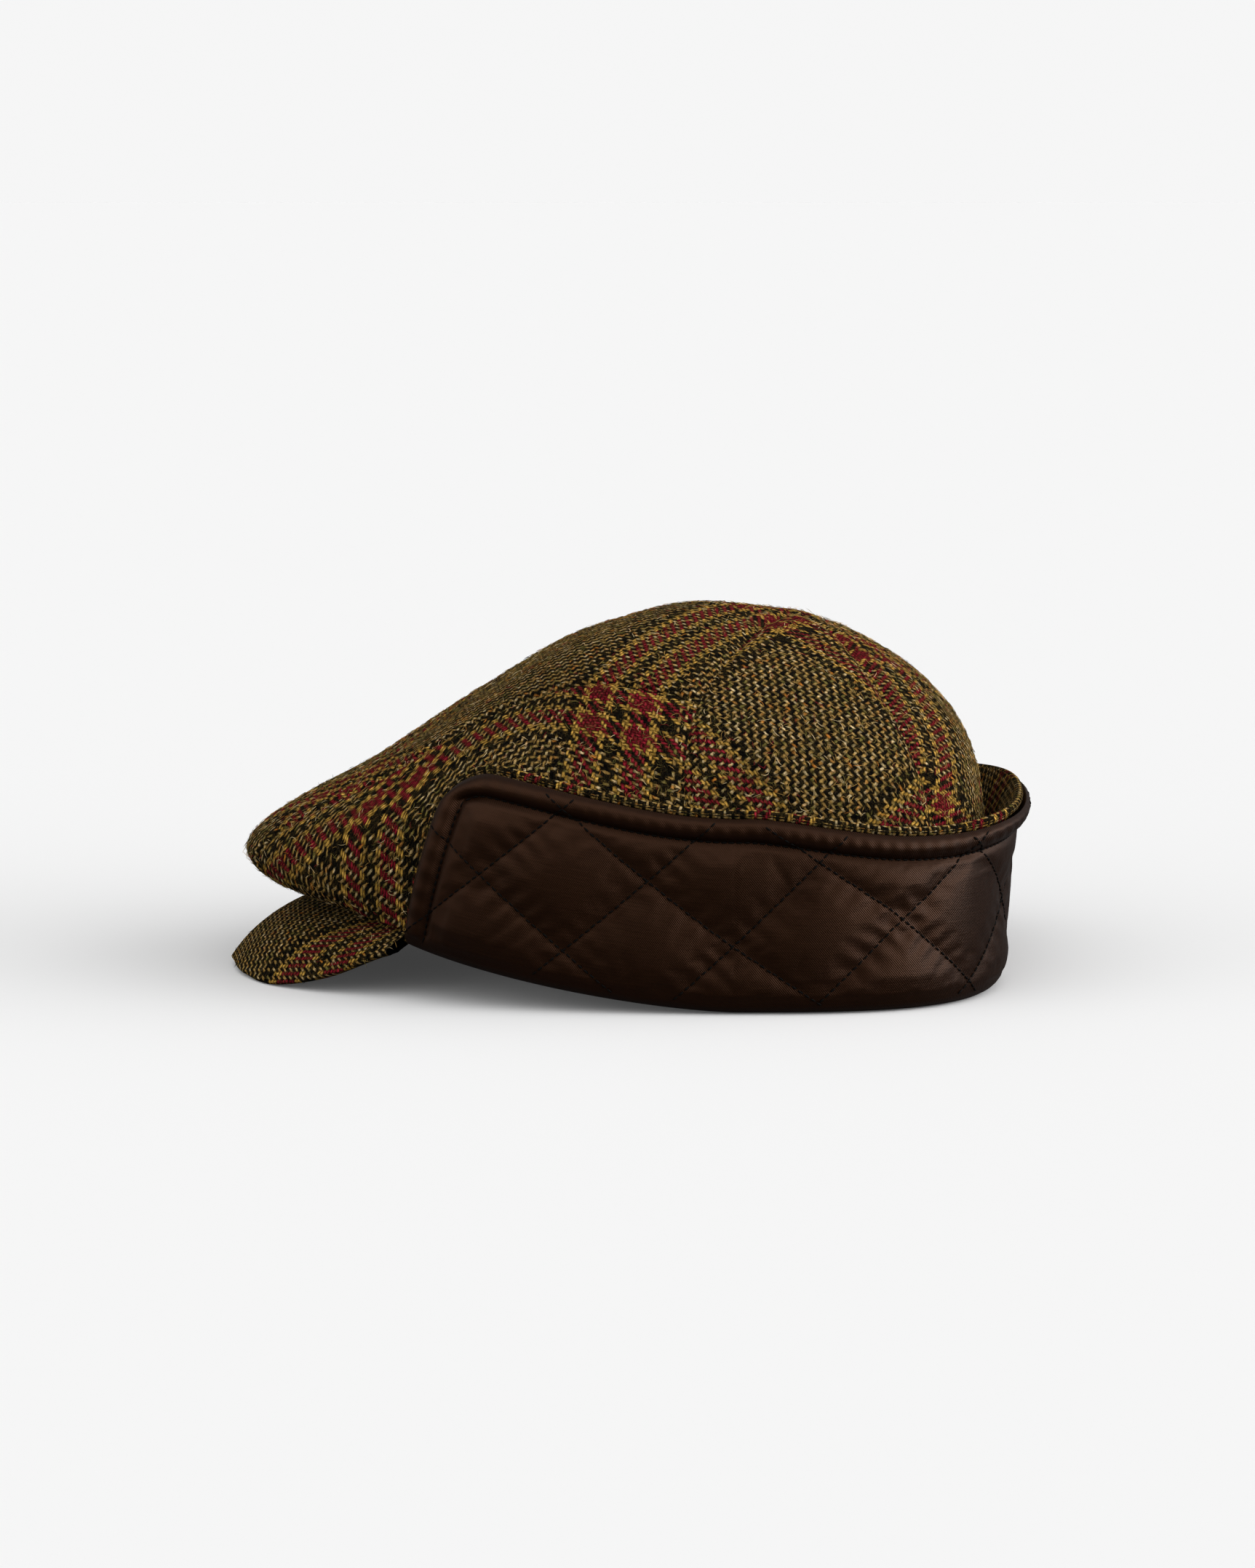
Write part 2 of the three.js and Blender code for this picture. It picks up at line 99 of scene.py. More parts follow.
# Flap: fold ring, and by angle its free edge's height, its waist's lean and its edge's lean
FOLD = dict(front_x=-95.0, front_n=3.4, mid_x=35.0, half_width=90.0, back_x=128.5, back_n=3.0)
FOLD_RISE = 22.0
FOLD_REACH = 121.0
FOLD_POWER = 1.5
NEAR_ANGLE = 0.05
FLARE_POWER = 4
FLAP_EDGE = np.array([
    (36, 83.5, 2.6, -8.5),
    (50, 81.5, 2.0, -7.5),
    (65, 77.5, 0.8, -4.5),
    (78, 71.5, 0.3, -1.2),
    (90, 64.6, 0.3, 0.8),
    (108, 59.0, 0.2, 0.6),
    (128, 57.5, -0.2, 1.5),
    (152, 59.5, -0.9, 5.5),
    (180, 62.5, -1.4, 7.6),
])
# Front end of the flap: its angle at the fold and at a height, and its round corner
END_LOW = 41.5
END_HIGH = 54.0
END_HEIGHT = 64
END_LIMIT = 1.1
CORNER = 17.0
MID_FLAP = 40.0

# Hem of the lining: its width, roll and twist, and the dip at its stitching
HEM = 7.5
HEM_ROLL = 1.7
HEM_ROLL_POWER = 0.7
HEM_TWIST = 0.22
HEM_TWIST_PITCH = 5.2
HEM_TWIST_SLANT = 1.2
HEM_DIP = 1.3
HEM_DIP_POWER = 6
HEM_DIP_WIDTH = 2.5

# Tweed face: how far it shows past the satin, its depth and its foot, and the roll along its edge
SHELL_SHOWS = 2.6
SHELL_LEADS = 1.4
SHELL_DEPTH = 3.6
SHELL_FOOT = 7.0
ROLL = 1.55
ROLL_GRAIN = 60.0

# Quilting: diamonds, their puff and where it starts, and the puckers beside the stitch lines
QUILT = dict(wide=55.7, high=46.4, arc=156.3, height=22.8, tilt=0.155, tilt_from=105, puff=1.8)
QUILT_STEP = 1 / math.hypot(1 / QUILT["wide"], 1 / QUILT["high"])
PUFF_POWER = 0.45
PUFF_FROM_HEM = 8
PUFF_FOOT = 3
PUFF_RISE = 9
PUCKER = 0.26
PUCKER_REACH = 1.9
PUCKER_PITCH = 6.9
PUCKER_SWAY = ((1.3, 7.3, 0), (0.9, 17.7, 1))

# Turn of the lining under the fold: depth in from the outer face, height over the fold
LINING_TURN = np.array([
    (0.5, 4.6), (1.0, 3.0), (1.9, 1.8), (2.9, 0.9), (4.0, 0.3), (5.2, 0.05), (6.4, 0.0), (7.8, 0.0),
    (9.2, 0.0), (10.6, 0.15), (11.8, 0.6), (12.9, 1.4), (13.8, 2.4), (14.4, 3.8), (14.8, 5.6),
    (14.8, 9.5), (14.8, 14.0), (14.7, 18.5), (14.6, 23.0),
])

# Peak: share of its half width, and x, y and z of its free edge there
PEAK_EDGE = np.array([
    (0.00, -137.7, 0.0, 2.6),
    (0.35, -131.0, 24.0, 1.7),
    (0.58, -120.0, 40.0, 1.3),
    (0.80, -99.5, 55.0, 7.2),
    (1.00, -78.0, 65.0, 18.0),
])
PEAK_ANGLE = 37.5
PEAK_DOME = 18.0
PEAK_SEAM = 0.7


# Surfaces of the cap

def curve(rows, column, at):
    """Smooth curve through one column of a table, read at places along its first column."""
    keys = rows[:, 0]
    values = rows[:, column]
    steps = np.diff(keys)
    rates = np.diff(values) / steps
    inner = (rates[:-1] * steps[1:] + rates[1:] * steps[:-1]) / (steps[1:] + steps[:-1])
    slopes = np.concatenate([rates[:1], inner, rates[-1:]])
    at = np.clip(np.asarray(at, float), keys[0], keys[-1])
    i = np.clip(np.searchsorted(keys, at, side="left") - 1, 0, len(keys) - 2)
    h = steps[i]
    u = (at - keys[i]) / h
    return ((2 * u ** 3 - 3 * u ** 2 + 1) * values[i] + (u ** 3 - 2 * u ** 2 + u) * h * slopes[i]
            + (3 * u ** 2 - 2 * u ** 3) * values[i + 1] + (u ** 3 - u ** 2) * h * slopes[i + 1])


def mix(a, b, share):
    return a + (b - a) * share


def unit(vectors):
    return vectors / np.linalg.norm(vectors, axis=-1, keepdims=True)


def run_lengths(points, axis):
    """Lengths along a line of points, or along one axis of a grid of points."""
    steps = np.linalg.norm(np.diff(points, axis=axis), axis=-1)
    lengths = np.cumsum(steps, axis=axis)
    zero = np.zeros_like(np.take(lengths, [0], axis=axis))
    return np.concatenate([zero, lengths], axis=axis)


def oval(angle, front_x, front_n, mid_x, half_width, back_x, back_n):
    """Ring that is squarer or rounder in front than behind; angle 0 is the front, 90 the left side."""
    c = np.cos(np.radians(angle))
    s = np.sin(np.radians(angle))
    ahead = c >= 0
    power = 2 / np.where(ahead, front_n, back_n)
    reach = np.abs(c) ** power
    x = mid_x + (np.where(ahead, front_x, back_x) - mid_x) * reach
    y = -half_width * np.sign(s) * np.abs(s) ** power
    return x, y, reach, ahead


def crown_point(angle, t):
    """Point of the crown's outer face; t goes from its rim, 0, to its top, 1."""
    angle, t = np.broadcast_arrays(np.asarray(angle, float), np.asarray(t, float))
    front_x, front_z, front_n, mid_x, half, side_z, back_x, back_z, back_n = [
        curve(CROWN_RINGS, column, t) for column in range(1, 10)]
    x, y, reach, ahead = oval(angle, front_x, front_n, mid_x, half, back_x, back_n)
    z = side_z + (np.where(ahead, front_z, back_z) - side_z) * reach ** RISE_POWER
    return np.stack([x, y, z], -1)


def fold_point(angle):
    """Point of the fold that the flap is turned up along."""
    x, y, _, _ = oval(np.asarray(angle, float), **FOLD)
    z = FOLD_RISE * (np.maximum(FOLD["mid_x"] - x, 0) / FOLD_REACH) ** FOLD_POWER
    return np.stack([x, y, z], -1)


class Girth:
    """Lengths round a ring from its front, to turn angles into lengths and back."""

    def __init__(self, point_at):
        self.angles = np.linspace(0, 360, GIRTH_STEPS + 1)
        self.lengths = run_lengths(point_at(self.angles), 0)
        self.half = self.lengths[GIRTH_STEPS // 2]

    def at(self, angle):
        return np.interp(angle, self.angles, self.lengths)

    def angle_at(self, girth):
        girth = np.asarray(girth, float)
        return np.sign(girth) * np.interp(np.abs(girth), self.lengths, self.angles)


FOLD_GIRTH = Girth(fold_point)
CROWN_GIRTH = Girth(lambda angle: crown_point(angle, GIRTH_T))


def front_patch(across, s):
    """Front panel, from its right border, -1, to its left, 1, and from the peak up."""
    seam = np.minimum(s / SEAM_SHARE, 1)
    above = np.maximum(s - SEAM_SHARE, 0) / (1 - SEAM_SHARE)
    edge_t = mix(curve(FRONT_SEAM, 2, seam), TOP_T, above)
    middle_t = mix(curve(FRONT_SEAM, 3, seam), TOP_T, above)
    angle = CROWN_GIRTH.angle_at(across * CROWN_GIRTH.at(curve(FRONT_SEAM, 1, seam)))
    return crown_point(angle, mix(middle_t, edge_t, across * across))


def side_patch(length, up):
    """Left side panel, from the peak to the quarter seam and from its rim to the front panel's seam."""
    seam = CROWN_GIRTH.at(curve(FRONT_SEAM, 1, length))
    rim = mix(CROWN_GIRTH.at(FRONT_SEAM[0, 1] + SIDE_LAG), CROWN_GIRTH.at(QUARTER_ANGLE), length)
    return crown_point(CROWN_GIRTH.angle_at(mix(rim, seam, up)), curve(FRONT_SEAM, 2, length) * up)


def gore_patch(start, end):
    """Panel of the crown between two angles."""
    low, high = CROWN_GIRTH.at(start), CROWN_GIRTH.at(end)
    return lambda across, t: crown_point(CROWN_GIRTH.angle_at(mix(low, high, across)), t)


def edge_height(angle):
    """Height of the flap's free edge over its fold."""
    return curve(FLAP_EDGE, 1, angle) - fold_point(angle)[..., 2]


def end_girth(height):
    """Length along the fold from the centre back to the flap's front end, at a height."""
    share = np.minimum(height / END_HEIGHT, END_LIMIT)
    return FOLD_GIRTH.half - FOLD_GIRTH.at(mix(END_LOW, END_HIGH, share))


def flap_angle(from_end, share, height):
    """Angle at a length from the flap's front end, or at a share of the way from there to the centre back."""
    length = end_girth(height)
    return FOLD_GIRTH.angle_at(FOLD_GIRTH.half - mix(length - from_end, 0, share))


def flap_out(angle):
    """Level direction out from the fold."""
    run = fold_point(angle + NEAR_ANGLE) - fold_point(angle - NEAR_ANGLE)
    return unit(np.stack([run[..., 1], -run[..., 0], np.zeros_like(run[..., 0])], -1))


def flap_point(angle, height, depth):
    """Point of the flap at a height over its fold and a depth in from its outer face."""
    low = fold_point(angle)
    w = height / edge_height(angle)
    lean = (curve(FLAP_EDGE, 2, angle) * np.sin(np.pi * np.clip(w, 0, 1))
            + curve(FLAP_EDGE, 3, angle) * np.maximum(w, 0) ** FLARE_POWER)
    point = low + flap_out(angle) * (lean - depth)[..., None]
    point[..., 2] += height
    return point


def free_height(full, from_end, radius):
    """Height of the free edge, lower where the corner is round."""
    short = np.maximum(radius - np.maximum(from_end, 0), 0)
    return full - radius + np.sqrt(np.maximum(radius ** 2 - short ** 2, 0))


def quilt_base(arc):
    """Diamonds along the quilting to an arc, and how far its row of middles has risen there."""
    rise = QUILT["tilt"] * (QUILT["arc"] - np.maximum(arc, QUILT["tilt_from"]))
    return (arc - QUILT["arc"]) / QUILT["wide"], rise


def quilt_place(arc, height):
    """Place in the quilting: whole numbers of the sum and of the difference lie on the stitch lines."""
    a, rise = quilt_base(arc)
    b = (height - rise - QUILT["height"]) / QUILT["high"]
    return a + b, a - b


def quilt_gaps(arc, height):
    """Distance from the nearest stitch line each way, and the length along that line."""
    left, right = quilt_place(arc, height)
    gaps = [np.abs(place - np.rint(place)) * QUILT_STEP for place in (left, right)]
    runs = [(right + 3 * np.rint(left)) * QUILT_STEP, (left + 5 * np.rint(right)) * QUILT_STEP]
    return gaps, runs


def puckers(arc, height):
    """Small folds that the stitch lines draw in the satin beside them."""
    rise = np.zeros(np.broadcast(arc, height).shape)
    for gap, run in zip(*quilt_gaps(arc, height)):
        sway = sum(amount * np.sin(run / length + start) for amount, length, start in PUCKER_SWAY)
        weight = 0.6 + 0.4 * np.sin(run / 11.9 + 0.5)
        near = gap / PUCKER_REACH * np.exp(1 - gap / PUCKER_REACH)
        rise = rise + PUCKER * weight * near * np.sin(2 * math.pi * run / PUCKER_PITCH + sway)
    return rise


def swell(from_end, height, to_edge, arc):
    """How far the satin stands out: the hem's roll, the dip at its stitching and the quilted puffs."""
    hem = np.minimum(to_edge, np.maximum(from_end, 0))
    left, right = quilt_place(arc, height)
    puff = np.abs(np.sin(np.pi * left) * np.sin(np.pi * right)) ** PUFF_POWER
    field = np.clip((hem - HEM) / PUFF_FROM_HEM, 0, 1) * np.clip((height - PUFF_FOOT) / PUFF_RISE, 0, 1)
    share = np.clip(hem / HEM, 0, 1)
    run = arc + height
    roll = HEM_ROLL * np.sin(np.pi * share) ** HEM_ROLL_POWER - HEM_DIP * share ** HEM_DIP_POWER
    twist = np.sin(2 * math.pi * (run + HEM_TWIST_SLANT * hem) / HEM_TWIST_PITCH)
    roll = roll + HEM_TWIST * np.sin(np.pi * share) * twist
    inner = (QUILT["puff"] * puff + puckers(arc, height)) * field
    inner = inner - HEM_DIP * np.maximum(1 - (hem - HEM) / HEM_DIP_WIDTH, 0)
    return np.where(hem < HEM, roll, inner)


def peak_patch(across, out):
    """Top of the peak, from its left end, -1, to its right, 1, and from the crown out to its free edge."""
    share = np.minimum(np.abs(across), 1)
    root = crown_point(CROWN_GIRTH.angle_at(-across * CROWN_GIRTH.at(PEAK_ANGLE)), 0.0)
    root[..., 2] -= PEAK_SEAM
    edge = np.stack([curve(PEAK_EDGE, 1, share), np.sign(across) * curve(PEAK_EDGE, 2, share),
                     curve(PEAK_EDGE, 3, share)], -1)
    point = root + (edge - root) * out[..., None]
    point[..., 2] += PEAK_DOME * out * (1 - out ** 3) * (1 - share ** 2)
    return point


# Mesh helpers

def pick(piece):
    """Select one piece alone."""
    bpy.ops.object.select_all(action="DESELECT")
    piece.select_set(True)
    bpy.context.view_layer.objects.active = piece


def outward(points):
    """Unit normals of a grid of points, columns crossed with rows."""
    du = np.gradient(points, axis=0)
    dv = np.gradient(points, axis=1)
    square = np.cross(du, dv)
    return square / np.maximum(np.linalg.norm(square, axis=-1, keepdims=True), 1e-9)


def grid_piece(name, points):
    """A grid primitive with its corners moved onto the piece's surface."""
    columns, rows = points.shape[:2]
    bpy.ops.object.select_all(action="DESELECT")
    bpy.ops.mesh.primitive_grid_add(x_subdivisions=columns - 1, y_subdivisions=rows - 1, size=2)
    piece = bpy.context.object
    piece.name = name
    piece.data.name = name
    flat = np.empty(len(piece.data.vertices) * 3)
    piece.data.vertices.foreach_get("co", flat)
    flat = flat.reshape(-1, 3)
    across = np.rint((flat[:, 0] + 1) / 2 * (columns - 1)).astype(int)
    up = np.rint((flat[:, 1] + 1) / 2 * (rows - 1)).astype(int)
    placed = points[across, up] + CENTRE_SHIFT
    placed[:, 2] = np.maximum(placed[:, 2], 0)
    piece.data.vertices.foreach_set("co", (placed * MM).ravel())
    piece.data.update()
    return piece, across, up


def mesh_piece(name, points, faces, material):
    """A piece of many small shapes, from their points and faces."""
    mesh = bpy.data.meshes.new(name)
    mesh.from_pydata(((points + CENTRE_SHIFT) * MM).tolist(), [], faces)
    mesh.materials.append(material)
    piece = bpy.data.objects.new(name, mesh)
    SCENE.collection.objects.link(piece)
    return piece


def corner_verts(piece):
    """The vertex of each face corner."""
    owners = np.empty(len(piece.data.loops), int)
    piece.data.loops.foreach_get("vertex_index", owners)
    return owners


def lay_cloth(piece, across, up, cloth):
    """Write the cloth's own millimetres at each grid corner to the UV map."""
    owners = corner_verts(piece)
    flat = cloth[across[owners], up[owners]] * UV_SCALE
    piece.data.uv_layers[0].data.foreach_set("uv", flat.ravel())


def cut_flat(piece, across, up, shape):
    """Flatten a panel to the shape that it was cut to."""
    bpy.ops.object.mode_set(mode="EDIT")
    bpy.ops.mesh.select_all(action="SELECT")
    bpy.ops.uv.unwrap(method="ANGLE_BASED", margin=0.0)
    bpy.ops.object.mode_set(mode="OBJECT")
    owners = corner_verts(piece)
    flat = np.empty(len(owners) * 2)
    piece.data.uv_layers[0].data.foreach_get("uv", flat)
    cloth = np.zeros(shape + (2,))
    cloth[across[owners], up[owners]] = flat.reshape(-1, 2)
    return cloth


def true_scale(cloth, points, start, end):
    """Scale a flattened panel to its real size and turn it so that start to end is its first direction."""
    def area(grid):
        if grid.shape[-1] == 2:
            grid = np.concatenate([grid, np.zeros(grid.shape[:2] + (1,))], -1)
        one = grid[1:, 1:] - grid[:-1, :-1]
        two = grid[:-1, 1:] - grid[1:, :-1]
        return np.linalg.norm(np.cross(one, two), axis=-1).sum() / 2
    cloth = cloth * math.sqrt(area(points) / area(cloth))
    cloth = cloth - cloth[start]
    along = cloth[end]
    turn = math.atan2(along[1], along[0])
    c, s = math.cos(-turn), math.sin(-turn)
    return cloth @ np.array([[c, s], [-s, c]])


def turned(cloth, degrees, shift):
    """Flat cloth turned and moved on the weave."""
    c, s = math.cos(math.radians(degrees)), math.sin(math.radians(degrees))
    return cloth @ np.array([[c, s], [-s, c]]) + np.array(shift)


def apply_modifier(piece, modifier):
    pick(piece)
    bpy.ops.object.modifier_apply(modifier=modifier.name)


def give_thickness(piece, thickness, lining):
    """Turn a sheet into cloth of a thickness, inward from its face; with lining set, its back takes the
    second material.
    """
    wall = piece.modifiers.new("cloth", "SOLIDIFY")
    wall.thickness = thickness * MM
    wall.offset = -1
    wall.use_even_offset = True
    wall.material_offset = 1 if lining else 0
    apply_modifier(piece, wall)


def smooth_shade(piece, degrees=45):
    pick(piece)
    bpy.ops.object.shade_smooth_by_angle(angle=math.radians(degrees))


def slack(points, size, height, seed):
    """Gentle unevenness of the cloth, out along its face."""
    flat = points.reshape(-1, 3)
    rise = np.array([noise.noise(Vector(p / size) + Vector((seed, seed * 0.7, -seed))) for p in flat])
    return rise.reshape(points.shape[:2]) * height


def seam_distance(points, sewn):
    """Distance of each grid corner from the nearest sewn border."""
    across = run_lengths(points, 0)
    up = run_lengths(points, 1)
    borders = {"start": across, "end": across[-1:] - across, "last": up[:, -1:] - up}
    return np.minimum.reduce([borders[border] for border in sewn])


TO_RIGHT = np.array([1, -1, 1])


def mirrored(points):
    """The other side's panel, with its columns reversed so that its face is still its outside."""
    return points[::-1] * TO_RIGHT


# Materials

def new_group(name, inputs, outputs):
    """A node group with its named sockets, and its input and output nodes."""
    group = bpy.data.node_groups.new(name, "ShaderNodeTree")
    for socket, kind, value in inputs:
        made = group.interface.new_socket(socket, in_out="INPUT", socket_type=kind)
        if value is not None:
            made.default_value = value
    for socket, kind in outputs:
        group.interface.new_socket(socket, in_out="OUTPUT", socket_type=kind)
    return group, group.nodes.new("NodeGroupInput"), group.nodes.new("NodeGroupOutput")


class Nodes:
    """Short ways to add nodes to one tree."""

    def __init__(self, tree):
        self.tree = tree

    def node(self, kind, **values):
        made = self.tree.nodes.new(kind)
        for name, value in values.items():
            setattr(made, name, value)
        return made

    def link(self, source, target):
        self.tree.links.new(source, target)

    def put(self, socket, value):
        if isinstance(value, bpy.types.NodeSocket):
            self.link(value, socket)
        else:
            socket.default_value = value

    def math(self, operation, a, b=None, clamp=False):
        made = self.node("ShaderNodeMath", operation=operation, use_clamp=clamp)
        for socket, value in zip(made.inputs, (a, b)):
            if value is not None:
                self.put(socket, value)
        return made.outputs[0]

    def above(self, value, start, gain):
        """How far a value is above a start, times a gain, from 0 to 1."""
        return self.math("MULTIPLY", self.math("SUBTRACT", value, start), gain, clamp=True)

    def plus(self, start, value, gain):
        """A start plus a value times a gain."""
        return self.math("ADD", start, self.math("MULTIPLY", value, gain))

    def vector(self, x, y, z=0.0):
        made = self.node("ShaderNodeCombineXYZ")
        for socket, value in zip(made.inputs, (x, y, z)):
            self.put(socket, value)
        return made.outputs[0]

    def split(self, vector):
        made = self.node("ShaderNodeSeparateXYZ")
        self.link(vector, made.inputs[0])
        return made.outputs[0], made.outputs[1], made.outputs[2]

    def mix_colour(self, share, a, b, blend="MIX"):
        made = self.node("ShaderNodeMix", data_type="RGBA", blend_type=blend)
        self.put(made.inputs["Factor"], share)
        self.put(made.inputs[6], a)
        self.put(made.inputs[7], b)
        return made.outputs[2]

    def shade(self, colour, value):
        """A colour times a value."""
        return self.mix_colour(1.0, colour, self.vector(value, value, value), "MULTIPLY")

    def mix_value(self, share, a, b):
        made = self.node("ShaderNodeMix", data_type="FLOAT")
        self.put(made.inputs[0], share)
        self.put(made.inputs[2], a)
        self.put(made.inputs[3], b)
        return made.outputs[0]

    def ramp(self, share, stops, constant=False):
        made = self.node("ShaderNodeValToRGB")
        made.color_ramp.interpolation = "CONSTANT" if constant else "LINEAR"
        elements = made.color_ramp.elements
        while len(elements) < len(stops):
            elements.new(0.5)
        for element, (place, colour) in zip(elements, stops):
            element.position = place
            element.color = colour
        self.link(share, made.inputs[0])
        return made.outputs[0]

    def noise(self, vector, scale, detail=2.0, rough=0.5):
        made = self.node("ShaderNodeTexNoise")
        self.link(vector, made.inputs["Vector"])
        made.inputs["Scale"].default_value = scale
        made.inputs["Detail"].default_value = detail
        made.inputs["Roughness"].default_value = rough
        return made.outputs["Fac"]

    def random(self, value):
        made = self.node("ShaderNodeTexWhiteNoise", noise_dimensions="1D")
        self.put(made.inputs["W"], value)
        return made.outputs["Value"]

    def shifted(self, vector, offset):
        made = self.node("ShaderNodeVectorMath", operation="ADD")
        self.link(vector, made.inputs[0])
        made.inputs[1].default_value = offset
        return made.outputs[0]

    def bump(self, height, strength, distance):
        made = self.node("ShaderNodeBump")
        made.inputs["Strength"].default_value = strength
        made.inputs["Distance"].default_value = distance
        self.link(height, made.inputs["Height"])
        return made.outputs[0]


def new_material(name):
    """A material, the short ways to add its nodes, and its shader."""
    material = bpy.data.materials.new(name)
    material.use_nodes = True
    return material, Nodes(material.node_tree), material.node_tree.nodes["Principled BSDF"]


def matt(shader, roughness, specular):
    shader.inputs["Roughness"].default_value = roughness
    shader.inputs["Specular IOR Level"].default_value = specular


# Colours of the tweed's yarns
BLACK_YARN = (0.0065, 0.0055, 0.0042, 1)
GOLD_YARN = (0.50, 0.300, 0.084, 1)
CREAM_YARN = (0.82, 0.635, 0.340, 1)
RUST_YARN = (0.56, 0.200, 0.030, 1)
OLIVE_YARN = (0.200, 0.165, 0.042, 1)
WINE_YARN = (0.235, 0.0120, 0.0225, 1)
BAND_YARN = (0.67, 0.380, 0.075, 1)

# Threads of one repeat of the check: its coloured group, then plain one-and-one ground
CHECK_GROUP = [(4, BLACK_YARN), (3, BAND_YARN), (6, WINE_YARN), (2, BAND_YARN), (4, BLACK_YARN),
               (2, BAND_YARN), (6, WINE_YARN), (3, BAND_YARN), (4, BLACK_YARN)]
GROUP_THREADS = sum(threads for threads, _ in CHECK_GROUP)

# Middle thread of its lower burgundy stripe, and threads from one check to the next by way of cutting
LOWER_BURGUNDY = 24
BROAD_REPEAT = 90.0
FINE_REPEAT = 84.0
SIDE_REPEAT = 76.0
CLEAR_REPEAT = 140.0

# How far the yarns wander, in threads, and the tweed's and the satin's relief in metres
WANDER = 1.5
TWEED_RELIEF = 0.0005
SATIN_RELIEF = 0.00012


def yarn_group():
    """Colour of a yarn by its number in the check and the place along it."""
    group, inside, outside = new_group(
        "yarn",
        [("Across", "NodeSocketFloat", 0.0), ("Along", "NodeSocketFloat", 0.0),
         ("Seed", "NodeSocketFloat", 0.0), ("Repeat", "NodeSocketFloat", BROAD_REPEAT)],
        [("Colour", "NodeSocketColor")])
    n = Nodes(group)
    across, along, seed, repeat = inside.outputs[:4]
    number = n.math("FLOOR", across)
    place = n.math("ADD", n.math("FLOORED_MODULO", number, repeat), 0.5)
    stops = []
    count = 0
    for threads, colour in CHECK_GROUP:
        stops.append((count / GROUP_THREADS, colour))
        count += threads
    stripe = n.ramp(n.math("DIVIDE", place, float(GROUP_THREADS)), stops, constant=True)
    ground = n.math("GREATER_THAN", place, float(GROUP_THREADS))
    odd = n.math("FLOORED_MODULO", number, 2.0)
    own = n.random(n.math("ADD", number, seed))

    def mottle(side, side_scale, along_scale, detail, rough=0.5):
        spot = n.vector(n.math("MULTIPLY", side, side_scale), n.math("MULTIPLY", along, along_scale), seed)
        return n.noise(spot, 1.0, detail, rough)

    fibre = mottle(across, 3.1, 0.8, 3.0, 0.7)
    tuft = mottle(number, 3.7, 0.61, 1.0)
    fleck = mottle(number, 5.3, 0.21, 1.0)
    light = n.mix_colour(n.above(tuft, 0.49, 5.0), GOLD_YARN, CREAM_YARN)
    light = n.mix_colour(n.above(fleck, 0.56, 9.0), light, OLIVE_YARN)
    light = n.mix_colour(n.above(0.40, fleck, 9.0), light, RUST_YARN)
    plain = n.mix_colour(odd, light, BLACK_YARN)
    tone = n.ramp(tuft, [
        (0.30, (0.66, 0.66, 0.60, 1)), (0.5, (1.1, 1.1, 1.05, 1)), (0.68, (1.42, 1.46, 1.5, 1))])
    colour = n.mix_colour(ground, n.mix_colour(1.0, stripe, tone, "MULTIPLY"), plain)
    bright = n.plus(0.56, own, 0.36)
    streak = n.math("MAXIMUM", n.math("MULTIPLY", n.math("SUBTRACT", fibre, 0.27), 3.9), 0.12)
    n.link(n.shade(colour, n.math("MULTIPLY", bright, streak)), outside.inputs[0])
    return group


